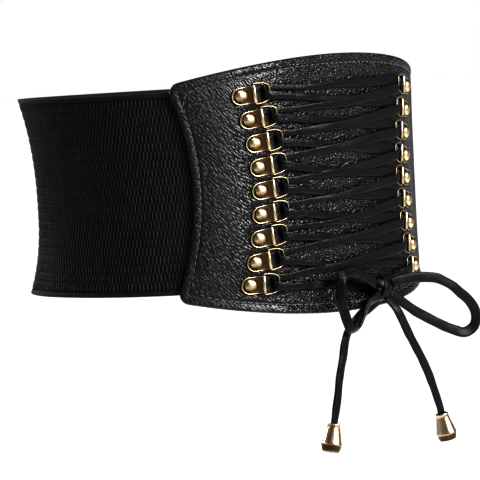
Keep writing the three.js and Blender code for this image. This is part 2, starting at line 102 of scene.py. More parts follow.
# The lace where it hangs, folded double, and the knot
LACE_END = {"width": 5.8, "thickness": 2.0}
KNOT = {"centre": (19.5, -95.0, -61.5), "half": (7.0, 4.6, 6.2)}

# A bell tip: its length, its radius at its top, where it is widest and at its end, the share of its
# length at which it is widest, its bore, and its distance from its tail's last point
TIP = {
    "length": 15.4, "top": 3.6, "widest": 5.8, "end": 4.7, "widest_at": 0.74,
    "bore": 2.7, "bore_depth": 6.0, "off": 0.3,
}

# How often a place that depends on itself is worked out anew
FITTING_ROUNDS = 6

# What each piece's random draws start from
SEEDS = {"bow": 11, "elastic": 3, "panel": 5, "lacing": 8}

# The bow and the tails: the solids' own points along the middle of the lace, with the turn of its
# flat side in degrees from facing forwards
BOW_LEFT = [
    (12.7, -97, -58.8, 0), (6.5, -98, -55.5, 0), (0, -98.5, -52.5, 0), (-7.5, -98.5, -50, 0),
    (-14, -99, -49.5, 20), (-19, -99.5, -50.5, 35), (-21.5, -100, -54, 42), (-22, -100, -58.5, 45),
    (-22, -100, -64.5, 45), (-20, -100, -71, 44), (-18, -100.5, -77, 42), (-15.5, -101, -81, 42),
    (-11, -101, -81.5, 50), (-6, -100.5, -78, 50), (-2, -100, -73.5, 40), (2.5, -99, -69, 30),
    (14.2, -97.8, -64.8, 10),
]
BOW_RIGHT = [
    (25.6, -97.8, -59.2, 0), (30, -100, -57.6, 0), (36, -102.5, -57, 0), (42, -104.5, -57, 0),
    (48, -106.5, -57.5, 0), (53.5, -108.5, -58.5, 0), (59, -110, -61, 0), (64, -111.5, -64, 0),
    (69, -112.5, -68, 0), (73.5, -113.5, -71.5, 10), (77.5, -114, -75.5, 30),
    (80.5, -114, -80, 45), (81.5, -113.5, -84, 50), (81, -112.5, -88, 50),
    (78.5, -111, -90.5, 35), (75, -109.5, -91.5, 20), (70, -107.5, -90, 0),
    (64, -105.5, -87.5, 0), (57, -103.5, -84, 0), (49.5, -101.5, -80, 0), (42, -100, -76, 0),
    (35.5, -98.5, -71.5, 0), (25.9, -96.4, -65, 0),
]
TAIL_LEFT = [
    (16, -94.5, -68.3, 0), (9, -94.8, -71, 0), (1.5, -95, -74, 0), (-6.5, -95.5, -78.5, 0),
    (-12.5, -95.5, -83.5, 0), (-15.5, -95.5, -89.5, 0), (-17.5, -95.5, -96.5, 0),
    (-20, -95.5, -103.5, 0), (-22, -95.5, -110, 0), (-23.5, -95.5, -117, 0),
    (-25.5, -95.5, -124, 0), (-27, -95.5, -129, 0), (-28, -95.5, -132.5, 0),
]
TAIL_RIGHT = [
    (21, -98.2, -67, 0), (21.8, -100.2, -69.6, 0), (23, -102.8, -73.5, 0), (25.5, -104, -79, 0),
    (29, -105, -86.5, 0), (33, -106, -94, 0), (37.5, -107, -102, 0), (41, -108, -109.5, 0),
    (44, -108.7, -117, 0), (46.5, -109.4, -124.5, 0), (48.5, -110, -131, 0),
    (49.3, -110.4, -135, 0),
]


# Vectors

def unit(vectors):
    return vectors / np.linalg.norm(vectors, axis=-1, keepdims=True)


def smooth(value):
    part = np.clip(value, 0, 1)
    return part * part * (3 - 2 * part)


def mix(first, second, share):
    return first + (second - first) * share


def bell(value, width):
    """1 at nothing, falling off to both sides over the width."""
    return np.exp(-((value / width) ** 2))


def power(value, exponent):
    """A power that keeps its value's sign."""
    return np.sign(value) * np.abs(value) ** exponent


def turns(count):
    """Angles at even steps round a circle."""
    return 2 * math.pi * np.arange(count) / count


# The belt's surface

OUTLINE_STEPS = 1440
OUTLINE_ANGLES = -math.pi / 2 + 2 * math.pi * np.arange(OUTLINE_STEPS + 1) / OUTLINE_STEPS


def section(a, b, angle):
    """The waist's outline, an oval with squared corners."""
    share = 2 / WAIST["squareness"]
    return np.stack([a * power(np.cos(angle), share), b * power(np.sin(angle), share)], -1)


def outline_lengths():
    """How far round the waist each of the outline's points lies."""
    corners = section(WAIST["half_width"], WAIST["half_depth"], OUTLINE_ANGLES)
    steps = np.linalg.norm(np.diff(corners, axis=0), axis=1)
    return np.concatenate([[0], np.cumsum(steps)])


OUTLINE = outline_lengths()
GIRTH = OUTLINE[-1]


def flare_at(s, z):
    """How far the belt stands out from the waist."""
    start = SHAPE["front_from"] * PANEL["half"]
    front = np.where(z < start, FLARE["hem"] * ((z - start) / (-PANEL["half"] - start)) ** 2, 0)
    waistline = SHAPE["back_waist"] * BAND["half"]
    above = z > waistline
    rise = np.where(above, FLARE["upper"], FLARE["lower"])
    edge = np.where(above, BAND["half"], -BAND["half"])
    back = rise * np.abs((z - waistline) / (edge - waistline)) ** FLARE["power"]
    away = np.abs(np.mod(s + 1.5 * GIRTH, GIRTH) - GIRTH / 2) / (GIRTH / 2)
    share = (away - SHAPE["blend_from"]) / (SHAPE["blend_to"] - SHAPE["blend_from"])
    return mix(front, back, smooth(share))


def skin(s, z, out):
    """Points at s along the belt, at the height z and `out` from the band's outer surface."""
    s, z, out = np.broadcast_arrays(*(np.asarray(value, float) for value in (s, z, out)))
    angle = np.interp(np.mod(s, GIRTH), OUTLINE, OUTLINE_ANGLES)
    flare = flare_at(s, z)
    a = WAIST["half_width"] + flare
    b = WAIST["half_depth"] + flare
    share = 2 - 2 / WAIST["squareness"]
    normal = np.stack([power(np.cos(angle), share) / a, power(np.sin(angle), share) / b], -1)
    flat = section(a, b, angle) + unit(normal) * out[..., None]
    return np.concatenate([flat, z[..., None]], -1)


def axes_at(s, z, out):
    """Directions along the belt, up it and outwards."""
    step = 0.5
    along = unit(skin(s + step, z, out) - skin(s - step, z, out))
    up = unit(skin(s, z + step, out) - skin(s, z - step, out))
    outward = unit(np.cross(along, up))
    return along, np.cross(outward, along), outward


def column_at(z):
    """How far from the middle a column of rings lies at a height."""
    return ROWS["column"] + ROWS["spread"] * (z / PANEL["end_half"]) ** 2


def side_at(z):
    """How far from the middle the panel's side lies at a height."""
    return column_at(z) + PANEL["side"]


SIDE_CORNER = side_at(PANEL["end_half"])


def half_height_at(s):
    return PANEL["half"] - (PANEL["half"] - PANEL["end_half"]) * (s / SIDE_CORNER) ** 2


def row_height(row):
    return ((ROWS["count"] - 1) / 2 - row) * ROWS["pitch"]


def ring_rows():
    """The side and the height of each ring."""
    for sign in (-1, 1):
        for row in range(ROWS["count"]):
            yield sign, row_height(row)


# Meshes

def add_object(name, data):
    thing = bpy.data.objects.new(name, data)
    bpy.context.scene.collection.objects.link(thing)
    return thing


def make_piece(name, points, faces, material, attributes=None, edges=()):
    """A smooth mesh object from points in millimetres. An attribute has one value or one vector
    for each point."""
    mesh = bpy.data.meshes.new(name)
    mesh.from_pydata((np.asarray(points).reshape(-1, 3) * MM).tolist(), edges, faces)
    mesh.polygons.foreach_set("use_smooth", np.ones(len(mesh.polygons), bool))
    for label, values in (attributes or {}).items():
        values = np.asarray(values, np.float32)
        vector = values.ndim > 1
        layer = mesh.attributes.new(label, "FLOAT_VECTOR" if vector else "FLOAT", "POINT")
        layer.data.foreach_set("vector" if vector else "value", values.ravel())
    mesh.materials.append(material)
    return add_object(name, mesh)


def dress(piece, slot, *nodes):
    """Sets a finished piece on the belt's body in place of its solids."""
    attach(piece, BODY)
    if nodes:
        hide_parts(*nodes)
    return piece


def grid_faces(rows, columns, start=0, close_rows=False, close_columns=False, flip=False):
    """Quads of a grid whose points run row by row."""
    r = np.arange(rows if close_rows else rows - 1)[:, None]
    c = np.arange(columns if close_columns else columns - 1)[None, :]
    r_next = (r + 1) % rows
    c_next = (c + 1) % columns
    corners = [r * columns + c, r * columns + c_next, r_next * columns + c_next, r_next * columns + c]
    quads = np.stack(np.broadcast_arrays(*corners), -1).reshape(-1, 4) + start
    return (quads[:, ::-1] if flip else quads).tolist()


def wall(outer, inner):
    """A closed wall between two grids of points, rows upwards and columns towards +s."""
    rows, columns = outer.shape[:2]
    size = rows * columns
    faces = grid_faces(rows, columns) + grid_faces(rows, columns, size, flip=True)
    index = np.arange(size).reshape(rows, columns)
    rim = np.concatenate([index[0, :-1], index[:-1, -1], index[-1, :0:-1], index[:0:-1, 0]])
    after = np.roll(rim, -1)
    faces += np.stack([rim, rim + size, after + size, after], -1).tolist()
    return np.concatenate([outer.reshape(-1, 3), inner.reshape(-1, 3)]), faces


def sweep(points, across, widths, thickness, shape, closed=False):
    """A flat lace along stations. Shape gives its section at each station, in halves of its width
    and thickness. Also returns each point's place on the lace: along it and across it."""
    if closed:
        travel = unit(np.roll(points, -1, 0) - np.roll(points, 1, 0))
    else:
        travel = unit(np.gradient(points, axis=0))
    side = unit(across - travel * np.sum(across * travel, 1)[:, None])
    face = np.cross(travel, side)
    reach = shape[..., 0] * np.asarray(widths)[:, None] / 2
    lift = shape[..., 1] * thickness / 2
    rings = points[:, None] + side[:, None] * reach[..., None] + face[:, None] * lift[..., None]
    count, corners = reach.shape
    faces = grid_faces(count, corners, close_rows=closed, close_columns=True)
    if not closed:
        tail = (count - 1) * corners
        faces += [list(range(corners))[::-1], [tail + k for k in range(corners)]]
    steps = np.linalg.norm(np.diff(points, axis=0), axis=1)
    length = np.broadcast_to(np.concatenate([[0], np.cumsum(steps)])[:, None], reach.shape)
    lay = np.stack([length, reach, lift], -1).reshape(-1, 3) * MM
    return rings.reshape(-1, 3), faces, lay


def join(*parts):
    """One list of points and faces, with their values, from several."""
    points = []
    faces = []
    values = []
    start = 0
    for part_points, part_faces, part_values in parts:
        points.append(np.asarray(part_points).reshape(-1, 3))
        faces += [[index + start for index in face] for face in part_faces]
        values.append(np.asarray(part_values))
        start += len(points[-1])
    return np.concatenate(points), faces, np.concatenate(values)


# The lace's section, and what its folds and waves look like

SECTION_CORNERS = 16


def lace_shape(count, rng, fold=0.5, squareness=0.75):
    """Sections of a soft lace folded lengthwise: its fold wanders across it as it goes."""
    angle = turns(SECTION_CORNERS) + math.pi / SECTION_CORNERS
    u = power(np.cos(angle), squareness)[None, :]
    v = power(np.sin(angle), squareness)[None, :]
    at = np.linspace(0, 1, count)[:, None]
    phase = rng.uniform(0, 2 * math.pi, 3)
    crease = 0.35 * np.sin(9 * at + phase[0]) + 0.2 * np.sin(23 * at + phase[1])
    ridge = -0.3 + 0.25 * np.sin(14 * at + phase[2])
    front = smooth((v + 0.2) / 0.4)
    lift = v + front * fold * (0.7 * bell(u - ridge, 0.22) - 0.9 * bell(u - crease, 0.12))
    return np.stack([np.broadcast_to(u, lift.shape), lift], -1)


def wander(count, rng, size):
    """A slow random wave with one value for each station."""
    at = np.linspace(0, 1, count)
    waves = sum(np.sin(2 * math.pi * (k * at * count / 40 + rng.uniform())) / k for k in (1, 2, 3))
    return size * waves


# Node building

class Wire:
    """A node's output. Arithmetic on wires adds Math nodes."""

    def __init__(self, nodes, socket):
        self.nodes = nodes
        self.socket = socket

    def math(self, operation, first, second=None):
        values = {0: first} if second is None else {0: first, 1: second}
        return self.nodes.add("ShaderNodeMath", {"operation": operation}, values)

    def __add__(self, other):
        return self.math("ADD", self, other)

    __radd__ = __add__

    def __sub__(self, other):
        return self.math("SUBTRACT", self, other)

    def __rsub__(self, other):
        return self.math("SUBTRACT", other, self)

    def __mul__(self, other):
        return self.math("MULTIPLY", self, other)

    __rmul__ = __mul__

    def wave(self):
        return self.math("SINE", self)

    def clamped(self, low, high):
        """0 at low and 1 at high, with soft ends."""
        values = {"Value": self, "From Min": low, "From Max": high}
        return self.nodes.add("ShaderNodeMapRange", {"interpolation_type": "SMOOTHSTEP"}, values)


class Nodes:
    """Adds nodes to a tree: settings first, then the values or links of the sockets."""

    def __init__(self, tree):
        self.tree = tree

    def add(self, kind, settings=None, sockets=None, output=0):
        node = self.tree.nodes.new(kind)
        for key, value in (settings or {}).items():
            setattr(node, key, value)
        for key, value in (sockets or {}).items():
            if isinstance(value, Wire):
                self.tree.links.new(value.socket, node.inputs[key])
            else:
                node.inputs[key].default_value = value
        return Wire(self, node.outputs[output]) if len(node.outputs) else node


class Finish(Nodes):
    """A material's nodes."""

    def __init__(self, name):
        self.material = bpy.data.materials.new(name)
        self.material.use_nodes = True
        super().__init__(self.material.node_tree)
        self.tree.nodes.clear()
        self.place = self.add("ShaderNodeTexCoord", output="Object")

    def attribute(self, name, output="Fac"):
        return self.add("ShaderNodeAttribute", {"attribute_name": name}, output=output)

    def axis(self, vector, letter):
        return self.add("ShaderNodeSeparateXYZ", {}, {0: vector}, letter)

    def noise(self, vector, scale, detail=3.0):
        return self.add("ShaderNodeTexNoise", {}, {"Vector": vector, "Scale": scale, "Detail": detail})

    def cells(self, vector, scale):
        return self.add("ShaderNodeTexVoronoi", {"feature": "F1"}, {"Vector": vector, "Scale": scale})

    def pebbles(self, vector, scale, softness):
        """Rounded lumps, 1 on their tops."""
        values = {"Vector": vector, "Scale": scale, "Smoothness": softness}
        return 1 - self.add("ShaderNodeTexVoronoi", {"feature": "SMOOTH_F1"}, values) * 1.4

    def stretched(self, vector, scale, turn=(0.0, 0.0, 0.0)):
        values = {"Vector": vector, "Scale": scale, "Rotation": turn}
        return self.add("ShaderNodeMapping", {"vector_type": "POINT"}, values)

    def slanted(self, vector, scale, turn):
        """A flat place turned, and then scaled along its turned sides."""
        return self.stretched(self.stretched(vector, (1.0, 1.0, 1.0), (0.0, 0.0, turn)), scale)

    def blend(self, share, first, second):
        return self.add("ShaderNodeMix", {"data_type": "RGBA"}, {0: share, 6: first, 7: second}, 2)

    def bump(self, height, depth, strength=1.0):
        """The depth is in millimetres."""
        values = {"Height": height, "Distance": depth * MM, "Strength": strength}
        return self.add("ShaderNodeBump", {}, values)

    def done(self, **sockets):
        """Ends the material. A socket's name is written with underscores for its spaces."""
        values = {key.replace("_", " "): value for key, value in sockets.items()}
        surface = self.add("ShaderNodeBsdfPrincipled", {}, values)
        self.add("ShaderNodeOutputMaterial", {}, {"Surface": surface})
        return self.material


def colour(rgb, share=1.0):
    """A colour, lighter or darker by its share."""
    return (*(channel * share for channel in rgb), 1.0)


def leather_finish(rgb, suede):
    """Pebbled leather in front, its flesh side behind."""
    finish = Finish("grained_leather")
    behind = finish.attribute("behind")
    patches = finish.noise(finish.place, 38, 2)
    lay = finish.attribute("lay", "Vector")
    middle = finish.axis(lay, "X").clamped(-70 * MM, -35 * MM)
    drawn = finish.slanted(lay, (1.0, 0.36, 1.0), -0.72)
    rounder = finish.slanted(lay, (1.0, 0.7, 1.0), -0.8)
    creases = finish.noise(drawn, 330, 1)
    lumps = (finish.pebbles(drawn, 1150, 0.35) * (1 - middle) * 0.5
             + finish.pebbles(rounder, 1060, 0.45) * middle)
    height = lumps * 1.3 + creases * 0.3
    worn = (lumps * 0.6 + creases * 0.6).clamped(0.45, 0.95)
    face = finish.blend(worn, colour(rgb, 0.55), colour(rgb, 1.5))
    face = finish.blend(patches.clamped(0.35, 0.7), face, colour(rgb, 1.15))
    nap = finish.blend(finish.noise(finish.place, 900, 4), colour(suede, 0.6), colour(suede, 1.3))
    front_rough = 0.27 - worn * 0.08 + patches * 0.06 - middle * 0.05
    roughness = front_rough + behind * 0.4 + finish.attribute("matt") * 0.35
    return finish.done(
        Base_Color=finish.blend(behind, face, nap),
        Roughness=roughness,
        Specular_IOR_Level=0.22,
        Normal=finish.bump(height, 0.42),
    )


LACE_FINISH = "soft_lace_leather"


def lace_finish(rgb):
    """Thin soft leather, folded lengthwise, with fine creases along it."""
    finish = Finish(LACE_FINISH)
    lay = finish.attribute("lay", "Vector")
    pulls = finish.noise(finish.stretched(lay, (180, 900, 900)), 1, 4)
    glossy = 1 - finish.axis(finish.place, "X").clamped(-25 * MM, 35 * MM)
    grain = finish.pebbles(finish.place, 1000, 0.5)
    folds = finish.noise(finish.stretched(lay, (260, 90, 90)), 1, 2)
    shade = (pulls * 0.6 + folds * 0.5).clamped(0.35, 0.85)
    height = pulls * 0.3 + folds * 0.6 + grain * (0.12 + glossy * 0.4)
    return finish.done(
        Base_Color=finish.blend(shade, colour(rgb, 0.6), colour(rgb, 1.45)),
        Roughness=0.5 - shade * 0.08 - glossy * 0.12,
        Specular_IOR_Level=0.14,
        Normal=finish.bump(height, 0.26, 0.9),
    )


def elastic_finish(rgb):
    """The elastic's ground, dark between its ribs, with fine ribs of yarn on its inner face."""
    finish = Finish("elastic_ground")
    lay = finish.attribute("lay", "Vector")
    along = finish.axis(lay, "X")
    up = finish.axis(lay, "Y")
    yarns = (along * 5200).wave() * 0.5 + (up * 6400).wave() * 0.3
    selvedge = finish.attribute("selvedge")
    fuzz = finish.noise(finish.place, 1400, 3)
    tone = finish.blend(selvedge, colour(rgb, 0.35), colour(rgb, 0.95))
    return finish.done(
        Base_Color=finish.blend(fuzz.clamped(0.35, 0.7), tone, colour(rgb, 0.7)),
        Roughness=0.82 + fuzz * 0.12,
        Specular_IOR_Level=0.1,
        Normal=finish.bump(yarns + fuzz * 0.6, 0.12, 0.7),
    )


def rib_finish(rgb):
    """The elastic's raised ribs, wound with yarn."""
    finish = Finish("elastic_rib_yarn")
    tone = finish.attribute("tone")
    rise = finish.axis(finish.place, "Z")
    winding = (rise * 9500).wave()
    fuzz = finish.noise(finish.place, 1700, 3)
    shade = (tone * 0.6 + fuzz * 0.6).clamped(0.2, 0.95)
    return finish.done(
        Base_Color=finish.blend(shade, colour(rgb, 0.75), colour(rgb, 1.6)),
        Roughness=0.6 + fuzz * 0.14,
        Specular_IOR_Level=0.2,
        Normal=finish.bump(winding * 0.5 + fuzz * 0.8, 0.1, 0.7),
    )


def tape_finish(rgb):
    """The hidden fastening's close looped pile."""
    finish = Finish("fastening_pile")
    loops = finish.cells(finish.place, 1300)
    fuzz = finish.noise(finish.place, 600, 3)
    return finish.done(
        Base_Color=finish.blend(loops, colour(rgb, 1.6), colour(rgb, 0.4)),
        Roughness=0.85 + fuzz * 0.1,
        Normal=finish.bump(1 - loops, 0.3, 0.8),
    )


def thread_finish(rgb):
    """Twisted thread."""
    finish = Finish("seam_thread")
    twist = finish.noise(finish.place, 2600, 2)
    return finish.done(
        Base_Color=finish.blend(twist, colour(rgb, 0.6), colour(rgb, 1.5)),
        Roughness=0.55 + twist * 0.2,
        Normal=finish.bump(twist, 0.1, 0.6),
    )


def metal_finish(name, rgb, dark, roughness):
    """Plated metal, bright where it is rubbed, brown with patina in its hollows, and darkened with
    painted shade on one half of each lug's dome and on the bell tips' lower ends.
    """
    finish = Finish(name)
    patina_and_painted_shade = finish.attribute("patina_and_painted_shade")
    cloud = finish.noise(finish.place, 420, 4)
    scratch = finish.noise(finish.place, 2600, 3)
    # The darkening mixes patina in the hollows, painted shade on the domes and on the tips' lower ends,
    # and cloudy stains.
    stain_and_painted_shade = (patina_and_painted_shade + cloud * 0.5 - 0.2).clamped(0.15, 0.95)
    return finish.done(
        Base_Color=finish.blend(stain_and_painted_shade, colour(rgb), colour(dark)),
        Metallic=1.0,
        Roughness=roughness + stain_and_painted_shade * 0.22 + scratch * 0.1,
        Normal=finish.bump(cloud * 0.5 + scratch * 0.3, 0.05, 0.5),
    )


def stage_finish(rgb):
    """Pale paper."""
    finish = Finish("pale_stage")
    mottle = finish.noise(finish.place, 3, 2)
    return finish.done(
        Base_Color=finish.blend(mottle, colour(rgb, 0.985), colour(rgb)),
        Roughness=0.95,
        Specular_IOR_Level=0.1,
    )


# Geometry node trees

class Pattern(Nodes):
    """A geometry node tree that sets a small shape on every place of a carrier mesh."""

    def __init__(self, name, sizes):
        super().__init__(bpy.data.node_groups.new(name, "GeometryNodeTree"))
        sockets = self.tree.interface
        sockets.new_socket("Geometry", in_out="INPUT", socket_type="NodeSocketGeometry")
        self.identifiers = {}
        for label in sizes:
            item = sockets.new_socket(label, in_out="INPUT", socket_type="NodeSocketFloat")
            self.identifiers[label] = item.identifier
        item = sockets.new_socket("Material", in_out="INPUT", socket_type="NodeSocketMaterial")
        self.identifiers["Material"] = item.identifier
        sockets.new_socket("Geometry", in_out="OUTPUT", socket_type="NodeSocketGeometry")
        self.group_input = self.tree.nodes.new("NodeGroupInput")

    def given(self, label):
        return Wire(self, self.group_input.outputs[label])

    def named(self, label):
        settings = {"data_type": "FLOAT_VECTOR"}
        return self.add("GeometryNodeInputNamedAttribute", settings, {"Name": label})

    def end(self, places, shape, secondary, secondary_axis):
        """Sets the shape on the places, its Z outwards, and makes the copies real."""
        settings = {"primary_axis": "Z", "secondary_axis": secondary_axis}
        axes = {0: self.named("outward"), 1: secondary}
        turn = self.add("FunctionNodeAxesToRotation", settings, axes)
        values = {"Points": places, "Instance": shape, "Rotation": turn}
        copies = self.add("GeometryNodeInstanceOnPoints", {}, values)
        real = self.add("GeometryNodeRealizeInstances", {}, {0: copies})
        values = {"Geometry": real, "Material": self.given("Material")}
        done = self.add("GeometryNodeSetMaterial", {}, values)
        self.add("NodeGroupOutput", {}, {0: done})
        return self

    def scaled(self, shape, labels):
        """The shape with its unit sides scaled to three of the named sizes."""
        sizes = {axis: self.given(label) for axis, label in zip("XYZ", labels)}
        scale = self.add("ShaderNodeCombineXYZ", {}, sizes)
        sized = self.add("GeometryNodeTransform", {}, {"Geometry": shape, "Scale": scale})
        return self.add("GeometryNodeSetShadeSmooth", {}, {0: sized})


def rib_pattern():
    """A rib of the elastic on each point: a low oblong with eight sides."""
    labels = ("Rib width", "Rib length", "Rib height")
    tree = Pattern("elastic_rib_pattern", labels)
    cone = {"Vertices": 8, "Radius Top": 0.27, "Radius Bottom": 0.54, "Depth": 1.0}
    shape = tree.add("GeometryNodeMeshCone", {}, cone)
    eighth = {"Geometry": shape, "Rotation": (0.0, 0.0, math.pi / 8)}
    turned = tree.add("GeometryNodeTransform", {}, eighth)
    return tree.end(tree.given("Geometry"), tree.scaled(turned, labels), tree.named("up"), "Y")


def stitch_pattern():
    """Stitches at even steps along a seam line."""
    labels = ("Stitch length", "Stitch width", "Stitch height")
    tree = Pattern("seam_stitch_pattern", (*labels, "Stitch pitch"))
    line = tree.add("GeometryNodeMeshToCurve", {}, {0: tree.given("Geometry")})
    steps = {0: line, "Length": tree.given("Stitch pitch")}
    places = tree.add("GeometryNodeResampleCurve", {"mode": "LENGTH"}, steps)
    bead = {"Segments": 8, "Rings": 5, "Radius": 0.5}
    shape = tree.add("GeometryNodeMeshUVSphere", {}, bead)
    return tree.end(places, tree.scaled(shape, labels), tree.add("GeometryNodeInputTangent"), "X")


def grow(carrier, pattern, name, values):
    """Runs a pattern on a carrier and leaves a plain mesh object."""
    modifier = carrier.modifiers.new(name, "NODES")
    modifier.node_group = pattern.tree
    for label, value in values.items():
        modifier[pattern.identifiers[label]] = value
    graph = bpy.context.evaluated_depsgraph_get()
    mesh = bpy.data.meshes.new_from_object(carrier.evaluated_get(graph), depsgraph=graph)
    mesh.name = name
    carrier.modifiers.remove(modifier)
    bpy.data.objects.remove(carrier)
    return add_object(name, mesh)


# The elastic band

# The selvedge's width, the level of the ground inside it, and how far in from the band's edge its
# lines of points lie
SELVEDGE = 2.4
CLOTH_LEVEL = -0.38
BAND_EDGE = [0, 0.08, 0.22, 0.42, 0.75, 1.2, 1.8, 2.3, 2.55, 2.8, 3.1]
BAND_ROWS = 34
BAND_COLUMNS = 300

# The groove inside the selvedge, and the waves that the stretched band keeps
GROOVE = {"depth": 0.25, "width": 0.25, "from_selvedge": 0.3}
WAVES = {"height": 0.06, "along": 11, "up": 17}

# The ribs: how far they keep from the band's ends and its selvedges, how deep they are set, and how
# unevenly they lie along the band and up it
RIBS = {"from_end": 16.0, "from_selvedge": 0.5, "set": 0.05, "uneven_s": 0.05, "uneven_z": 0.06}


def band_sink(s):
    """How deep the band lies: it goes down where the panel lies over it."""
    return BAND["sink"] * smooth((SIDE_CORNER - s) / (SIDE_CORNER - side_at(0.0)))


def elastic_cloth(material):
    """The band's ground: sunk between its selvedges, with rounded edges."""
    half = BAND["half"]
    middle = np.linspace(-(half - 5), half - 5, BAND_ROWS)
    edge = half - np.array(BAND_EDGE)
    z = np.concatenate([-edge, middle, edge[::-1]])[:, None]
    s = np.linspace(BAND["end"], GIRTH - BAND["end"], BAND_COLUMNS)[None, :]
    from_edge = half - np.abs(z)
    round_off = np.clip((BAND["wall"] / 2 - from_edge) / (BAND["wall"] / 2), 0, 1)
    tuck = BAND["wall"] / 2 * (1 - np.sqrt(1 - round_off**2))
    ground = CLOTH_LEVEL * smooth((from_edge - SELVEDGE + 0.2) / 0.5)
    groove = -GROOVE["depth"] * bell(from_edge - SELVEDGE - GROOVE["from_selvedge"], GROOVE["width"])
    ripple = WAVES["height"] * np.sin(s / WAVES["along"]) * np.sin(z / WAVES["up"] + 1)
    level = -band_sink(s) + 0 * z
    outer = skin(s, z, level + ground + groove - tuck + ripple)
    inner = skin(s, z, level - BAND["wall"] + tuck + ripple)
    points, faces = wall(outer, inner)
    flat = np.stack(np.broadcast_arrays(s, z, 0.0), -1).reshape(-1, 3) * MM
    trim = np.broadcast_to(1 - smooth((from_edge - SELVEDGE) / 0.3), outer.shape[:2]).ravel()
    values = {"lay": np.tile(flat, (2, 1)), "selvedge": np.tile(trim, 2)}
    return make_piece("elastic_cloth", points, faces, material, values)


def rib_carrier(sizes, material, rng):
    """Points of a brick pattern over the band, each with its directions and its tone."""
    pitch = sizes.rib_pitch / MM
    reach = BAND["half"] - SELVEDGE - RIBS["from_selvedge"]
    count = round(2 * reach / (sizes.row_pitch / MM))
    row_pitch = 2 * reach / count
    start = BAND["end"] + RIBS["from_end"]
    columns = int((GIRTH - 2 * start) / pitch)
    row, column = np.mgrid[0:count, 0:columns]
    s = start + (column + 0.5 * (row % 2)) * pitch + rng.normal(0, RIBS["uneven_s"], row.shape)
    z = -reach + (row + 0.5) * row_pitch + rng.normal(0, RIBS["uneven_z"], row.shape)
    s, z = s.ravel(), z.ravel()
    level = -band_sink(s) + CLOTH_LEVEL - RIBS["set"]
    _, up, outward = axes_at(s, z, level)
    values = {"up": up, "outward": outward, "tone": rng.uniform(0, 1, s.shape)}
    return make_piece("rib_carrier", skin(s, z, level), [], material, values)


# The leather panel

# How far in from the panel's edge its lines of points lie, and how far apart they are inside that
PANEL_EDGE = [
    0, 0.12, 0.3, 0.55, 0.85, 1.2, 1.7, 2.3, 2.9, 3.4, 3.8, 4.15, 4.5, 4.85, 5.2, 5.6, 6.2, 7.0,
]
PANEL_STEP = 0.93

# The seam: how far in from the panel's sides and ends it runs, and its groove's depth and width
SEAM = {"side": 4.5, "end": 5.2, "depth": 0.42, "width": 0.55, "set": 0.1, "corner": 14, "steps": 260}

# How far the turned edge outside the seam and the leather inside it stand up, and over what
# distance inwards the leather and its creases reach their height
RELIEF = {"turned": 0.32, "swell": 0.35, "over": 9, "creases_over": 8}

# The leather's soft creases: how many, their lengths, and their heights in shares of those
CREASES = {"count": 16, "lengths": (5, 19), "heights": (0.0004, 0.0012)}

# How far the leather round a lug is pulled up, and the half length and half height of that place
PULL = {"rise": 0.16, "length": 9.5, "height": 6.4}

# The rubbed leather: its place behind a ring's bar with its half length and half height, and where
# the panel's dull sides begin
RUBBED = {"back": 4.5, "length": 5.0, "height": 5.2, "sides_from": 72, "sides_over": 14}


def edge_shares(half):
    """Places from -1 to 1, close together near both ends."""
    inner = half - PANEL_EDGE[-1]
    middle = np.linspace(-inner, inner, int(2 * inner / PANEL_STEP))[1:-1]
    edge = half - np.array(PANEL_EDGE)
    return np.concatenate([-edge, middle, edge[::-1]]) / half


def panel_place(u, v):
    """The place of a share of the panel's width and of its height, with rounded corners."""
    corner = PANEL["corner"]
    from_edge = (1 - np.abs(v)) * PANEL["end_half"]
    short = np.maximum(corner - from_edge, 0)
    inset = corner - np.sqrt(corner**2 - short**2)
    s = 0 * u * v
    z = 0 * u * v
    for _ in range(FITTING_ROUNDS):
        s = u * (side_at(z) - inset)
        z = v * half_height_at(s)
    return s, z


def panel_margins(s, z):
    """Distances to the panel's nearer side and end, and to its rounded edge."""
    side = side_at(z) - np.abs(s)
    end = half_height_at(s) - np.abs(z)
    corner = PANEL["corner"]
    round_in = corner - np.hypot(np.maximum(corner - side, 0), np.maximum(corner - end, 0))
    edge = np.where((side < corner) & (end < corner), round_in, np.minimum(side, end))
    return side, end, np.maximum(edge, 0)


def panel_relief(s, z, rng):
    """The leather's relief: turned edge, seam, soft creases and the pull of each lug."""
    side, end, edge = panel_margins(s, z)
    seam = mix(SEAM["side"], SEAM["end"], smooth((side - end + 4) / 8))
    half_wall = (PANEL["outer"] - PANEL["inner"]) / 2
    round_off = np.clip((half_wall - edge) / half_wall, 0, 1)
    tuck = half_wall * (1 - np.sqrt(1 - round_off**2))
    turned = RELIEF["turned"] * np.sin(math.pi * np.clip(edge / seam, 0, 1))
    groove = -SEAM["depth"] * bell(edge - seam, SEAM["width"])
    swell = RELIEF["swell"] * smooth((edge - seam) / RELIEF["over"])
    creases = 0
    for _ in range(CREASES["count"]):
        slant = rng.normal(0.9, 0.55)
        length = rng.uniform(*CREASES["lengths"])
        phase = rng.uniform(0, 2 * math.pi)
        wave = np.sin(2 * math.pi * (s * math.cos(slant) + z * math.sin(slant)) / length + phase)
        creases = creases + wave * length * rng.uniform(*CREASES["heights"])
    pull = 0
    for sign, height in ring_rows():
        middle = sign * (column_at(height) + LUG["end"] / 2)
        away = np.hypot((s - middle) / PULL["length"], (z - height) / PULL["height"])
        pull = pull + PULL["rise"] * bell(away - 1.15, 0.3)
    pull = pull * smooth(edge / RELIEF["over"])
    creases = creases * smooth(edge / RELIEF["creases_over"])
    return turned + groove + swell + pull + creases, tuck


def rubbed_matt(s, z):
    """Where the leather has lost its gloss: under each ring and towards the sides."""
    matt = 0.5 * smooth((np.abs(s) - RUBBED["sides_from"]) / RUBBED["sides_over"])
    for sign, height in ring_rows():
        along = (s - sign * (column_at(height) - RUBBED["back"])) / RUBBED["length"]
        matt = np.maximum(matt, bell(np.hypot(along, (z - height) / RUBBED["height"]), 1.0))
    return matt


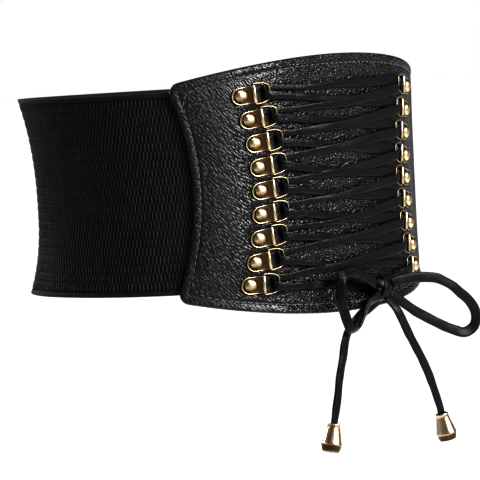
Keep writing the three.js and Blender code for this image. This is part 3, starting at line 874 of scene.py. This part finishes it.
def leather_front(material, rng):
    """The panel: its grained face, its rounded edge and its flesh side."""
    u = edge_shares(SIDE_CORNER)[None, :]
    v = edge_shares(PANEL["half"])[:, None]
    s, z = panel_place(u, v)
    relief, tuck = panel_relief(s, z, rng)
    outer = skin(s, z, PANEL["outer"] - tuck + relief)
    inner = skin(s, z, PANEL["inner"] + tuck)
    points, faces = wall(outer, inner)
    lay = np.stack([s, z, 0 * s], -1).reshape(-1, 3) * MM
    values = {
        "behind": np.repeat([0, 1], s.size), "lay": np.tile(lay, (2, 1)),
        "matt": np.tile(rubbed_matt(s, z).ravel(), 2),
    }
    return make_piece("leather_front", points, faces, material, values)


def seam_carrier(material):
    """The seam line round the panel, as a closed chain of edges."""
    count = SEAM["steps"]
    square = np.stack([np.cos(turns(count)), np.sin(turns(count))])
    square = square / np.abs(square).max(0)
    corner = SEAM["corner"]
    u, v = square * np.minimum(1, np.sum(np.abs(square) ** corner, 0) ** (-1 / corner))
    u = u * (1 - SEAM["side"] / SIDE_CORNER)
    v = v * (1 - SEAM["end"] / PANEL["half"])
    s, z = panel_place(u, v)
    level = PANEL["outer"] - SEAM["set"]
    values = {"outward": axes_at(s, z, level)[2]}
    edges = [(k, (k + 1) % count) for k in range(count)]
    return make_piece("seam_carrier", skin(s, z, level), [], material, values, edges)


# Lugs and rings

def hardware_at(side, row):
    """A row's lug and ring: their placings, and the far bar that the lace goes round."""
    z = row_height(row)
    s = side * column_at(z)
    turn = math.radians(LUG_TURNS[row % len(LUG_TURNS)])
    middle = LUG["end"] / 2
    seat_s = s + side * middle
    seat_z = z - middle * math.sin(turn)
    along, up, outward = axes_at(seat_s, seat_z, LUG["seat"])
    axis = -side * along * math.cos(turn) + up * math.sin(turn)
    bar = np.cross(outward, axis)
    origin = skin(seat_s, seat_z, LUG["seat"]) + axis * middle
    barrel = origin + outward * LUG["barrel"]
    level = LACE["under"] + LACE["wrap"]
    reach = RING["reach"]
    for _ in range(FITTING_ROUNDS):
        far = (s - side * reach * math.cos(turn), z + reach * math.sin(turn))
        reach *= RING["reach"] / np.linalg.norm(skin(*far, level) - barrel)
    run = skin(*far, level) - barrel
    run = unit(run - bar * np.dot(run, bar))
    face = np.cross(run, bar)
    return {
        "side": side, "far": far, "far_bar": barrel + run * RING["reach"],
        "run": run, "bar": bar, "face": face,
        "lug": (origin, axis, bar, outward), "ring": (barrel, run, bar, face),
    }


HARDWARE = {
    name: [hardware_at(side, row) for row in range(ROWS["count"])]
    for name, side in (("left", -1), ("right", 1))
}


def placed(points, placing):
    """Points of a piece's own frame in the belt's."""
    origin, x, y, z = placing
    return origin + points @ np.stack([x, y, z])


LUG_SIDES = 48
BARREL_SIDES = 20
WIRE_SIDES = 10
DOME_STEPS = 7

# The plate's relief from its foot to the rivet's foot: how far in from the plate's edge, or out
# from the rivet's axis, a line of points lies, its height, and how dark it is
LUG_EDGE = [
    (0, 0, 0.8), (0, 0.7, 0.5), (0.06, 0.98, 0.15), (0.16, 1.1, 0.05), (0.4, 1.1, 0.05),
    (0.56, 0.92, 0.5), (0.7, 0.7, 1),
]
LUG_GROOVE = [(4.08, 0.7, 0.9), (3.92, 0.5, 1), (3.76, 0.62, 1)]

# The plate between them, with the shares of the way in of its lines of points
LUG_PLATE = {"height": 0.7, "dark": 0.85, "shares": (0.33, 0.67)}

# The small nub at the plate's end, and the plate's rise to the barrel
NUB = {"height": 0.5, "radius": 0.7, "from_end": 1.5}
RAMP = {"length": 4.6, "under_top": 1.2, "power": 1.3}


def lug_mesh():
    """A lug in its own frame: the ring's bar along Y over the origin, the plate running to -X."""
    cos, sin = np.cos(turns(LUG_SIDES)), np.sin(turns(LUG_SIDES))
    half = LUG["half_width"]
    straight = np.minimum(-LUG["rivet"] / np.maximum(cos, 1e-6), half / np.maximum(np.abs(sin), 1e-6))
    bow = 1 / np.hypot(cos / (LUG["end"] + LUG["rivet"]), sin / half)
    edge = np.where(cos > 0, straight, bow)
    lines = [(edge - inset, height, dark) for inset, height, dark in LUG_EDGE]
    floor = edge - LUG_EDGE[-1][0]
    for share in LUG_PLATE["shares"]:
        radius = mix(floor, np.minimum(LUG_GROOVE[0][0], floor), share)
        lines.append((radius, LUG_PLATE["height"], LUG_PLATE["dark"]))
    lines += [(np.minimum(radius, floor), height, dark) for radius, height, dark in LUG_GROOVE]
    foot = LUG_GROOVE[-1][1] + 0.15
    for step in range(DOME_STEPS):
        turn = math.pi / 2 * step / DOME_STEPS
        height = foot + LUG["rise"] * math.sin(turn) ** 0.85
        lines.append((LUG["dome"] * math.cos(turn), height, 0 if step else 0.35))
    rings = []
    darkness = []
    for line, (radius, height, dark) in enumerate(lines):
        on_plate = line < len(lines) - DOME_STEPS
        x = LUG["rivet"] + radius * cos
        y = radius * sin
        nub = NUB["height"] * bell(np.hypot(x + LUG["end"] - NUB["from_end"], y), NUB["radius"])
        top = LUG["barrel"] + LUG["roll"] - RAMP["under_top"]
        ramp = top * smooth(x / RAMP["length"] + 1) ** RAMP["power"]
        rings.append(np.stack([x, y, height + (nub + ramp) * (height > 0.5)], -1))
        fade = 0.55 * smooth((x + 7) / 4)
        # Painted shade: each dome is darkened on its half towards -Y in the lug's own frame, over a
        # slightly darker tone all over it.
        tarnish_and_painted_shade = 0.25 + 0.6 * smooth((0.6 - y) / LUG["dome"])
        darkness.append(np.clip(dark + (fade if on_plate else tarnish_and_painted_shade), 0, 1))
    count = len(rings)
    faces = grid_faces(count, LUG_SIDES, close_columns=True)
    points = np.concatenate([*rings, [[LUG["rivet"], 0, foot + LUG["rise"]]]])
    tip = count * LUG_SIDES
    last = tip - LUG_SIDES
    faces += [[last + k, last + (k + 1) % LUG_SIDES, tip] for k in range(LUG_SIDES)]
    faces.append(list(range(LUG_SIDES))[::-1])
    return points, faces, np.concatenate([*darkness, [0]])


def barrel_mesh():
    """The lug's rolled end, round the ring's bar. Its profile has each line's place along the bar,
    its radius and how dark it is."""
    half = LUG["half_width"]
    radius = LUG["roll"]
    bevel = 0.15
    bore = RING["radius"] + 0.25
    end = [(half, bore, 1), (half, radius - bevel, 0.5), (half - bevel, radius, 0.35)]
    profile = [(-y, r, dark) for y, r, dark in end] + [(0, radius, 0.4)] + end[::-1]
    y, r, dark = np.array(profile).T[:, :, None]
    angle = turns(BARREL_SIDES)
    points = np.stack([r * np.sin(angle), y + 0 * angle, LUG["barrel"] + r * np.cos(angle)], -1)
    faces = grid_faces(*points.shape[:2], close_rows=True, close_columns=True, flip=True)
    return points.reshape(-1, 3), faces, np.broadcast_to(dark, points.shape[:2]).ravel()


def ring_mesh():
    """A D-ring in its own frame: its bar along Y through the origin, its loop running to +X."""
    bend = 0.7
    turn = np.linspace(0, math.pi / 2, 5)
    corner = np.stack([bend - bend * np.cos(turn), RING["half"] - bend + bend * np.sin(turn)], -1)
    turn = np.linspace(0, math.pi / 2, 14)[1:]
    roundness = 2 / 2.35
    arm = np.stack([
        bend + (RING["reach"] - bend) * np.sin(turn) ** roundness,
        RING["flat"] + (RING["half"] - RING["flat"]) * np.maximum(np.cos(turn), 0) ** roundness,
    ], -1)
    upper = np.concatenate([corner, arm])
    loop = np.concatenate([upper, (upper * (1, -1))[::-1]])
    points = np.concatenate([loop, np.zeros((len(loop), 1))], 1)
    circle = np.stack([np.cos(turns(WIRE_SIDES)), np.sin(turns(WIRE_SIDES))], -1)
    shape = np.broadcast_to(circle, (len(points), *circle.shape))
    across = np.broadcast_to([0.0, 0.0, 1.0], points.shape)
    wire = 2 * RING["radius"]
    return sweep(points, across, np.full(len(points), wire), wire, shape, closed=True)


# The lacing

STRAND_STEPS = 34
WRAP_STEPS = 10

# How far from a ring a strand has spread to its full width
SPREAD = 9.0

# How far above and below a bar's middle the lace goes round it
BAR_SHIFT = 2.1

# Where on its way a strand that starts on each side changes its level
SINKS = {"left": 0.27, "right": 0.73}

# A strand's looseness: the range of its sag, its waves, its tilt in degrees, the range of its width
# in shares, and how unevenly its width runs
LOOSE = {"sag": (-0.3, 2.4), "waves": 0.32, "tilt": 9.0, "widths": (0.78, 1.15), "uneven": 0.2}


def wrap_stations(place, over_first, upper_first):
    """Stations round a ring's far bar, on the lug's side of it."""
    angle = np.linspace(0, math.pi, WRAP_STEPS + 1)
    lift = LACE["wrap"] * np.cos(angle) * (1 if over_first else -1)
    shift = BAR_SHIFT * np.cos(angle) * (1 if upper_first else -1)
    upwards = -place["side"] * place["bar"]
    points = (
        place["far_bar"]
        - np.outer(LACE["reach"] * np.sin(angle), place["run"])
        + np.outer(lift, place["face"])
        + np.outer(shift, upwards)
    )
    across = np.broadcast_to(upwards, points.shape)
    return points, across, np.full(len(points), LACE["at_ring"])


def at_ring(place, above):
    """A strand's end at a ring: under its bar above the bar's middle, or over it below that."""
    s, z = place["far"]
    return {"s": s, "z": z + (BAR_SHIFT if above else -BAR_SHIFT), "over": not above}


def strand_stations(start, end, rng, sag=1.2, sinks=0.5):
    """Stations of a strand from one end to the other. It changes its level at the share of its
    way that sinks gives."""
    share = np.linspace(0.03, 0.97, STRAND_STEPS + 1)
    length = math.hypot(end["s"] - start["s"], end["z"] - start["z"])
    free = 4 * share * (1 - share)
    bow = sag * rng.uniform(*LOOSE["sag"]) * free**1.2
    s = mix(start["s"], end["s"], share)
    z = mix(start["z"], end["z"], share) - bow + wander(len(share), rng, LOOSE["waves"]) * free
    levels = []
    for place, distance in ((start, share * length), (end, (1 - share) * length)):
        flat = LACE["over"] if place["over"] else LACE["under"]
        at_bar = LACE["under"] + 2 * LACE["wrap"] if place["over"] else LACE["under"]
        levels.append(mix(at_bar, flat, smooth(distance / (2 * SPREAD))))
    out = mix(levels[0], levels[1], smooth((share - sinks + 0.08) / 0.16))
    outward = axes_at(s, z, out)[2]
    points = skin(s, z, out)
    across = np.cross(outward, unit(np.gradient(points, axis=0)))
    across *= np.where(across[:, 2:] < 0, -1, 1)
    tilt = np.radians(wander(len(share), rng, LOOSE["tilt"]) * free)[:, None]
    across = across * np.cos(tilt) + outward * np.sin(tilt)
    spread = smooth(np.minimum(share, 1 - share) * length / SPREAD)
    slack = mix(LACE["left"], LACE["right"], smooth(s / (2 * ROWS["column"]) + 0.5))
    width = mix(LACE["at_ring"], slack * rng.uniform(*LOOSE["widths"]), spread)
    return points, across, width + wander(len(share), rng, LOOSE["uneven"]) * spread


def lacing(name, side, lead, material, rng):
    """Half of the lacing, from a side's top ring down to the knot, with what leads up to it."""
    runs = list(lead)
    for row in range(1, ROWS["count"]):
        other = "left" if side == "right" else "right"
        start = at_ring(HARDWARE[side][row - 1], False)
        end = at_ring(HARDWARE[other][row], True)
        runs.append(strand_stations(start, end, rng, sinks=SINKS[side]))
        runs.append(wrap_stations(HARDWARE[other][row], False, True))
        side = other
    last = HARDWARE[side][-1]
    knot_end = {
        "s": KNOT["centre"][0] + last["side"] * (KNOT["half"][0] - 1), "z": KNOT["centre"][2] + 3,
        "over": last["side"] > 0,
    }
    runs.append(strand_stations(at_ring(last, False), knot_end, rng, 0.8, SINKS["left"]))
    points, across, widths = (np.concatenate(group) for group in zip(*runs))
    shape = lace_shape(len(points), rng, 0.6)
    swept, faces, lay = sweep(points, across, widths, LACE["thickness"], shape)
    return make_piece(name, swept, faces, material, {"lay": lay})


def top_strand(rng):
    """The lace's middle, straight across between the two top rings."""
    left, right = HARDWARE["left"][0], HARDWARE["right"][0]
    return [
        wrap_stations(right, True, False),
        strand_stations(at_ring(right, True), at_ring(left, True), rng),
        wrap_stations(left, False, True),
    ]


# The bow

def smooth_route(route, step=0.8):
    """Close points through a route's own, with the turn at each, and the route's length."""
    knots = np.array(route, float)
    chord = np.concatenate([[0], np.cumsum(np.linalg.norm(np.diff(knots[:, :3], axis=0), axis=1))])
    slopes = np.gradient(knots, chord, axis=0)
    at = np.linspace(0, chord[-1], int(chord[-1] / step) + 1)
    index = np.clip(np.searchsorted(chord, at, side="right") - 1, 0, len(chord) - 2)
    span = (chord[index + 1] - chord[index])[:, None]
    t = (at - chord[index])[:, None] / span
    values = (
        knots[index] * (1 + 2 * t) * (1 - t) ** 2 + slopes[index] * span * t * (1 - t) ** 2
        + knots[index + 1] * t * t * (3 - 2 * t) - slopes[index + 1] * span * t * t * (1 - t)
    )
    length = np.linalg.norm(np.diff(values[:, :3], axis=0), axis=1).sum()
    return values[:, :3], np.radians(values[:, 3]), length


def loose_lace(name, route, material, rng, taper=0.0):
    """A hanging lace, folded double, along its route. Its end narrows by the taper's share."""
    points, turn, length = smooth_route(route)
    travel = unit(np.gradient(points, axis=0))
    flat = unit(np.cross([0.0, -1.0, 0.0], travel))
    turn = turn + np.radians(wander(len(points), rng, 4.0))
    across = flat * np.cos(turn)[:, None] + np.cross(travel, flat) * np.sin(turn)[:, None]
    share = np.linspace(0, 1, len(points))
    narrowing = 1 - taper * smooth((share - 0.8) / 0.2)
    width = LACE_END["width"] * (1 + wander(len(points), rng, 0.03)) * narrowing
    shape = lace_shape(len(points), rng, 0.16, 0.7)
    swept, faces, lay = sweep(points, across, width, LACE_END["thickness"], shape)
    piece = make_piece(name, swept, faces, material, {"lay": lay})
    return piece, points, length


# The turns of lace round the knot
WRAP_SIDES = 56
WRAP_THICKNESS = 1.5


def knot_band(tilt, width, swell, rng, lean=0.0):
    """A turn of lace round the knot, tilted from upright and moved sideways by its lean."""
    angle = turns(WRAP_SIDES)
    half = np.array(KNOT["half"])
    upright = np.array([math.sin(tilt), 0, math.cos(tilt)])
    sideways = np.array([math.cos(tilt), 0, -math.sin(tilt)])
    reach = 1 / math.hypot(math.sin(tilt) / half[0], math.cos(tilt) / half[2])
    points = (
        np.array(KNOT["centre"]) + lean * sideways
        + np.outer(np.cos(angle) * (reach + swell), upright)
        + np.outer(np.sin(angle) * (half[1] + swell), [0, -1, 0])
    )
    across = np.broadcast_to(sideways, points.shape)
    widths = width * (0.8 + 0.2 * np.sin(angle)) + 0.2 * np.sin(3 * angle)
    corner = turns(SECTION_CORNERS) + math.pi / SECTION_CORNERS
    u = power(np.cos(corner), 0.8)
    v = power(np.sin(corner), 0.8) * (1 - 0.35 * bell(u - 0.15, 0.2))
    shape = np.broadcast_to(np.stack([u, v], -1), (WRAP_SIDES, SECTION_CORNERS, 2))
    swept, faces, lay = sweep(points, across, widths, WRAP_THICKNESS, shape, closed=True)
    return swept, faces, lay + rng.uniform(0, 0.05)


def knot_core():
    """The bundle of lace inside the knot, creased where its turns press."""
    rows, columns = 18, 32
    rise = math.pi * (np.arange(rows) + 0.5) / rows
    x = np.outer(np.sin(rise), np.cos(turns(columns)))
    y = np.outer(np.sin(rise), np.sin(turns(columns)))
    z = np.outer(-np.cos(rise), np.ones(columns))
    creased = 0.86 + 0.07 * np.sin(5 * x + 4 * z) + 0.05 * np.sin(7 * z - 3 * x)
    ball = np.stack([x, y, z], -1) * creased[..., None] * KNOT["half"] + KNOT["centre"]
    faces = grid_faces(rows, columns, close_columns=True)
    faces += [list(range(columns))[::-1], [(rows - 1) * columns + k for k in range(columns)]]
    points = ball.reshape(-1, 3)
    return points, faces, (points - KNOT["centre"]) * MM


TIP_SIDES = 48


def tip_profile():
    """A bell tip's outline, from the bottom of its bore round to the middle of its lower end: the
    radius, the depth below its top and how dark it is there, with painted shade on the lower chamfer and
    end."""
    top, widest, end, bore, length = (TIP[key] for key in ("top", "widest", "end", "bore", "length"))
    brim = TIP["widest_at"] * length
    bevel = 0.2
    profile = [
        (0, TIP["bore_depth"], 1), (bore, TIP["bore_depth"], 1), (bore, bevel, 0.8),
        (bore + bevel, 0, 0.2), (top - bevel, 0, 0), (top, bevel, 0), (top, 0.8, 0),
        (top - 0.15, 1.0, 0.5),
    ]
    for share in np.linspace(0.12, 1, 10):
        profile.append((mix(top - 0.1, widest, share**1.12), mix(1.0, brim, share), 0.1))
    # From the widest ring down, the chamfer and the end are darkened with painted shade.
    profile += [(widest, brim + 0.4, 0.3), (widest - bevel, brim + 0.7, 0.8)]
    for share in (0.35, 0.7, 0.93):
        profile.append((mix(widest - bevel, end, share), mix(brim + 0.7, length, share), 0.9))
    return profile + [(end - 0.3, length, 0.8), (end - 0.9, length - 0.25, 1), (0, length - 0.3, 0.9)]


def bell_tip(name, points, material):
    """A bell tip on a tail's end, its bore open round the lace."""
    travel = unit(points[-1] - points[-4])
    x = unit(np.cross([0.0, -1.0, 0.0], travel))
    y = np.cross(travel, x)
    start = points[-1] + travel * TIP["off"]
    radius, depth, dark = np.array(tip_profile()).T
    angle = turns(TIP_SIDES)
    circle = np.outer(np.cos(angle), x) + np.outer(np.sin(angle), y)
    centres = start + np.outer(depth, travel)
    rings = centres[1:-1, None] + radius[1:-1, None, None] * circle
    faces = grid_faces(len(rings), TIP_SIDES, close_columns=True)
    count = len(rings) * TIP_SIDES
    last = count - TIP_SIDES
    after = [(k + 1) % TIP_SIDES for k in range(TIP_SIDES)]
    faces += [[count, after[k], k] for k in range(TIP_SIDES)]
    faces += [[count + 1, last + k, last + after[k]] for k in range(TIP_SIDES)]
    swept = np.concatenate([rings.reshape(-1, 3), centres[[0, -1]]])
    # The darkness gives patina in the bore and painted shade on the lower chamfer and end.
    patina_and_painted_shade = np.concatenate([np.repeat(dark[1:-1], TIP_SIDES), dark[[0, -1]]])
    return make_piece(name, swept, faces, material, {"patina_and_painted_shade": patina_and_painted_shade})


# The stage

# The stage is in metres. Azimuth 0 is straight in front of the belt, and +X lies to the right.
CAMERA = {
    "place": (-1.4032, -1.2497, 0.0748), "target": (0.0031, -0.0054, -0.0329),
    "right": (0.6625, -0.7473, -0.0514), "lens": 244.5,
}
LAMPS = {
    "key_light": {"azimuth": 13, "elevation": 24, "away": 1.7, "size": (1.1, 0.45), "watts": 125},
    "side_light": {"azimuth": -120, "elevation": 18, "away": 1.8, "size": (0.5, 1.0), "watts": 9},
    "back_light": {"azimuth": -172, "elevation": 30, "away": 2.0, "size": (1.2, 0.9), "watts": 150},
}
SUN = {"azimuth": -20, "elevation": 70, "strength": 3.4, "spread": 35}
WORLD = {"white_to": 0.075, "dim_from": 0.12, "dimming": 0.85}
FLOOR = {"level": -0.62, "radius": 60.0, "sides": 64, "colour": (0.93, 0.93, 0.93)}
GAMMA = 0.575


def add_camera():
    """The camera that sees the belt as the photo does."""
    place = Vector(CAMERA["place"])
    back = (place - Vector(CAMERA["target"])).normalized()
    right = Vector(CAMERA["right"])
    right = (right - right.dot(back) * back).normalized()
    up = back.cross(right)
    data = bpy.data.cameras.new("camera")
    data.lens = CAMERA["lens"]
    data.clip_end = 200
    camera = add_object("camera", data)
    turn = Matrix((right, up, back)).transposed()
    camera.matrix_world = Matrix.Translation(place) @ turn.to_4x4()
    bpy.context.scene.camera = camera


def aim(data, azimuth, elevation, away):
    """Sets a light round the belt and turns it towards it."""
    az, el = math.radians(azimuth), math.radians(elevation)
    place = Vector((math.sin(az) * math.cos(el), -math.cos(az) * math.cos(el), math.sin(el))) * away
    light = add_object(data.name, data)
    light.location = place
    light.rotation_euler = place.to_track_quat("Z", "Y").to_euler()


def add_lamp(name, azimuth, elevation, away, size, watts):
    data = bpy.data.lights.new(name, "AREA")
    data.shape = "RECTANGLE"
    data.size, data.size_y = size
    data.energy = watts
    aim(data, azimuth, elevation, away)


def add_sun():
    """Soft light from above that whitens the floor."""
    data = bpy.data.lights.new("top_light", "SUN")
    data.energy = SUN["strength"]
    data.angle = math.radians(SUN["spread"])
    aim(data, SUN["azimuth"], SUN["elevation"], 1.0)


def add_floor():
    """A pale round floor below the belt."""
    angle = turns(FLOOR["sides"])
    flat = FLOOR["radius"] * np.stack([np.cos(angle), np.sin(angle)], -1)
    points = np.concatenate([flat, np.full((FLOOR["sides"], 1), FLOOR["level"])], 1) / MM
    floor = make_piece("floor", points, [list(range(FLOOR["sides"]))], stage_finish(FLOOR["colour"]))


def add_world():
    """White all round up to a little above eye level, and dim overhead."""
    world = bpy.data.worlds.new("studio")
    world.use_nodes = True
    world.node_tree.nodes.clear()
    nodes = Nodes(world.node_tree)
    height = nodes.add("ShaderNodeSeparateXYZ", {}, {0: nodes.add("ShaderNodeTexCoord")}, "Z")
    strength = 1 - height.clamped(WORLD["white_to"], WORLD["dim_from"]) * WORLD["dimming"]
    light = nodes.add("ShaderNodeBackground", {}, {"Color": colour((1, 1, 1)), "Strength": strength})
    nodes.add("ShaderNodeOutputWorld", {}, {"Surface": light})
    bpy.context.scene.world = world


# Properties

class BeltSizes(bpy.types.PropertyGroup):
    """Sizes of the belt's fine work."""

    rib_pitch: FloatProperty(
        name="Rib pitch", description="From one rib of the elastic to the next along the belt",
        default=2.15 * MM, min=MM, unit="LENGTH")
    row_pitch: FloatProperty(
        name="Row pitch", description="From one row of the elastic's ribs to the next",
        default=4.76 * MM, min=MM, unit="LENGTH")
    rib_width: FloatProperty(
        name="Rib width", description="Width of a rib of the elastic", default=0.95 * MM, unit="LENGTH")
    rib_length: FloatProperty(
        name="Rib length", description="Length of a rib of the elastic", default=5.9 * MM, unit="LENGTH")
    rib_height: FloatProperty(
        name="Rib height", description="How far a rib stands up", default=0.5 * MM, unit="LENGTH")
    stitch_length: FloatProperty(
        name="Stitch length", description="Length of a stitch", default=3.0 * MM, unit="LENGTH")
    stitch_pitch: FloatProperty(
        name="Stitch pitch", description="From one stitch to the next", default=4.0 * MM, unit="LENGTH")
    stitch_thickness: FloatProperty(
        name="Thread thickness", description="Thickness of the seam's thread",
        default=0.55 * MM, unit="LENGTH")


class BeltColours(bpy.types.PropertyGroup):
    """Colours of the belt's materials."""

    elastic: FloatVectorProperty(
        name="Elastic", description="Colour of the elastic", subtype="COLOR",
        default=(0.0115, 0.0115, 0.013))
    leather: FloatVectorProperty(
        name="Leather", description="Colour of the leather", subtype="COLOR",
        default=(0.003, 0.003, 0.0034))
    suede: FloatVectorProperty(
        name="Flesh side", description="Colour of the leather's back", subtype="COLOR",
        default=(0.02, 0.018, 0.017))
    lace: FloatVectorProperty(
        name="Lace", description="Colour of the lace", subtype="COLOR",
        default=(0.0035, 0.0035, 0.004))
    thread: FloatVectorProperty(
        name="Thread", description="Colour of the seam's thread", subtype="COLOR",
        default=(0.06, 0.06, 0.062))
    brass: FloatVectorProperty(
        name="Brass", description="Colour of the lugs and rings", subtype="COLOR",
        default=(0.34, 0.285, 0.195))
    # The dark colour of the metal's patina and of its painted shade.
    patina_and_painted_shade: FloatVectorProperty(
        name="Patina", description="Colour in the metal's hollows", subtype="COLOR",
        default=(0.05, 0.032, 0.016))
    bronze: FloatVectorProperty(
        name="Bronze", description="Colour of the bell tips", subtype="COLOR",
        default=(0.3, 0.235, 0.175))


def belt_sizes():
    return bpy.context.scene.belt_sizes


def belt_colours():
    return bpy.context.scene.belt_colours


def lace_leather():
    """The lace's material, made once and shared after that."""
    return bpy.data.materials.get(LACE_FINISH) or lace_finish(belt_colours().lace)


# Operators

class BELT_OT_stage(bpy.types.Operator):
    """Make the camera, the lights and the pale floor"""

    bl_idname = "belt.stage"
    bl_label = "Stage"

    def execute(self, context):
        add_camera()
        context.scene.view_settings.view_transform = "Standard"
        context.scene.view_settings.gamma = GAMMA
        add_world()
        add_floor()
        add_sun()
        for name, lamp in LAMPS.items():
            add_lamp(name, **lamp)
        return {"FINISHED"}


class BELT_OT_bow(bpy.types.Operator):
    """Make the knot, the bow's loops, the tails and their bell tips"""

    bl_idname = "belt.bow"
    bl_label = "Bow"

    def execute(self, context):
        rng = np.random.default_rng(SEEDS["bow"])
        colours = belt_colours()
        leather = lace_leather()
        bronze = metal_finish("bell_bronze", colours.bronze, colours.patina_and_painted_shade, 0.26)
        for name, route in (("left", BOW_LEFT), ("right", BOW_RIGHT)):
            loop, points, length = loose_lace(f"bow_loop_{name}_lace", route, leather, rng)
            dress(loop, "lace", f"bow_loop_{name}")
            path = points * MM
            length * MM
        for name, route in (("left", TAIL_LEFT), ("right", TAIL_RIGHT)):
            tail, points, length = loose_lace(f"lace_tail_{name}_lace", route, leather, rng, 0.12)
            tip = bell_tip(f"bell_tip_{name}", points, bronze)
            dress(tail, "lace", f"lace_tail_{name}")
            dress(tip, "bell_tip", f"lace_tip_{name}")
            path = points * MM
            length * MM
        wraps = [knot_band(0.32, 5.4, 0.35, rng, -0.6), knot_band(-0.9, 4.2, -0.1, rng, 0.5)]
        points, faces, lay = join(knot_core(), *wraps)
        dress(make_piece("bow_knot_lace", points, faces, leather, {"lay": lay}), "lace", "bow_knot")
        return {"FINISHED"}


class BELT_OT_elastic(bpy.types.Operator):
    """Make the elastic band and its woven ribs"""

    bl_idname = "belt.elastic"
    bl_label = "Elastic band"

    def execute(self, context):
        rng = np.random.default_rng(SEEDS["elastic"])
        sizes, colours = belt_sizes(), belt_colours()
        cloth = dress(elastic_cloth(elastic_finish(colours.elastic)), "elastic", "elastic_band")
        yarn = rib_finish(colours.elastic)
        values = {"Rib width": sizes.rib_width, "Rib length": sizes.rib_length,
                  "Rib height": sizes.rib_height, "Material": yarn}
        ribs = grow(rib_carrier(sizes, yarn, rng), rib_pattern(), "elastic_ribs", values)
        dress(ribs, "elastic")
        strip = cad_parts["fastening_strip"]
        strip.data.materials.clear()
        strip.data.materials.append(tape_finish(colours.elastic))
        return {"FINISHED"}


class BELT_OT_panel(bpy.types.Operator):
    """Make the leather panel and its seam"""

    bl_idname = "belt.panel"
    bl_label = "Leather panel"

    def execute(self, context):
        rng = np.random.default_rng(SEEDS["panel"])
        sizes, colours = belt_sizes(), belt_colours()
        leather = leather_finish(colours.leather, colours.suede)
        front = dress(leather_front(leather, rng), "leather", "leather_panel")
        thread = thread_finish(colours.thread)
        values = {"Stitch length": sizes.stitch_length, "Stitch width": sizes.stitch_thickness,
                  "Stitch height": sizes.stitch_thickness, "Stitch pitch": sizes.stitch_pitch,
                  "Material": thread}
        seam = grow(seam_carrier(thread), stitch_pattern(), "panel_stitches", values)
        dress(seam, "leather")
        flat = (2 * SIDE_CORNER * MM, 2 * PANEL["half"] * MM)
        return {"FINISHED"}


class BELT_OT_hardware(bpy.types.Operator):
    """Make the riveted lugs and the D-rings"""

    bl_idname = "belt.hardware"
    bl_label = "Lugs and rings"

    def execute(self, context):
        colours = belt_colours()
        brass = metal_finish("antique_brass", colours.brass, colours.patina_and_painted_shade, 0.3)
        lug_points, lug_faces, lug_dark = join(lug_mesh(), barrel_mesh())
        ring_points, ring_faces, _ = ring_mesh()
        # The lugs' darkness holds patina and the painted shade on their domes.
        lug_values = {"patina_and_painted_shade": lug_dark}
        ring_values = {"patina_and_painted_shade": np.full(len(ring_points), 0.5)}
        for name, places in HARDWARE.items():
            for row, place in enumerate(places, 1):
                points = placed(lug_points, place["lug"])
                lug = make_piece(f"riveted_lug_{name}_{row}", points, lug_faces, brass, lug_values)
                dress(lug, "brass", f"lug_{name}_{row}")
                points = placed(ring_points, place["ring"])
                ring = make_piece(f"d_ring_{name}_{row}", points, ring_faces, brass, ring_values)
                dress(ring, "brass", f"ring_{name}_{row}")
        return {"FINISHED"}


class BELT_OT_lacing(bpy.types.Operator):
    """Make the lacing between the two columns of rings"""

    bl_idname = "belt.lacing"
    bl_label = "Lacing"

    def execute(self, context):
        rng = np.random.default_rng(SEEDS["lacing"])
        leather = lace_leather()
        left = lacing("soft_lacing_from_left", "left", top_strand(rng), leather, rng)
        dress(left, "lace", "lacing_from_left")
        right = lacing("soft_lacing_from_right", "right", [], leather, rng)
        dress(right, "lace", "lacing_from_right")
        return {"FINISHED"}


OPERATORS = (
    BELT_OT_stage, BELT_OT_bow, BELT_OT_elastic, BELT_OT_panel, BELT_OT_hardware, BELT_OT_lacing,
)


class BELT_PT_panel(bpy.types.Panel):
    """The belt's pieces, sizes and colours"""

    bl_idname = "BELT_PT_panel"
    bl_label = "Corset Belt"
    bl_space_type = "VIEW_3D"
    bl_region_type = "UI"
    bl_category = "Corset Belt"

    def draw(self, context):
        layout = self.layout
        for operator in OPERATORS:
            layout.operator(operator.bl_idname)
        for group in (context.scene.belt_sizes, context.scene.belt_colours):
            box = layout.box()
            for name in group.bl_rna.properties.keys():
                if name not in ("rna_type", "name"):
                    box.prop(group, name)


CLASSES = (BeltSizes, BeltColours, *OPERATORS, BELT_PT_panel)


def register():
    for cls in CLASSES:
        bpy.utils.register_class(cls)
    bpy.types.Scene.belt_sizes = PointerProperty(type=BeltSizes)
    bpy.types.Scene.belt_colours = PointerProperty(type=BeltColours)


def unregister():
    del bpy.types.Scene.belt_colours
    del bpy.types.Scene.belt_sizes
    for cls in reversed(CLASSES):
        bpy.utils.unregister_class(cls)


def main():
    register()
    bpy.ops.belt.stage()
    bpy.ops.belt.bow()
    bpy.ops.belt.elastic()
    bpy.ops.belt.panel()
    bpy.ops.belt.hardware()
    bpy.ops.belt.lacing()


if __name__ == "__main__":
    main()
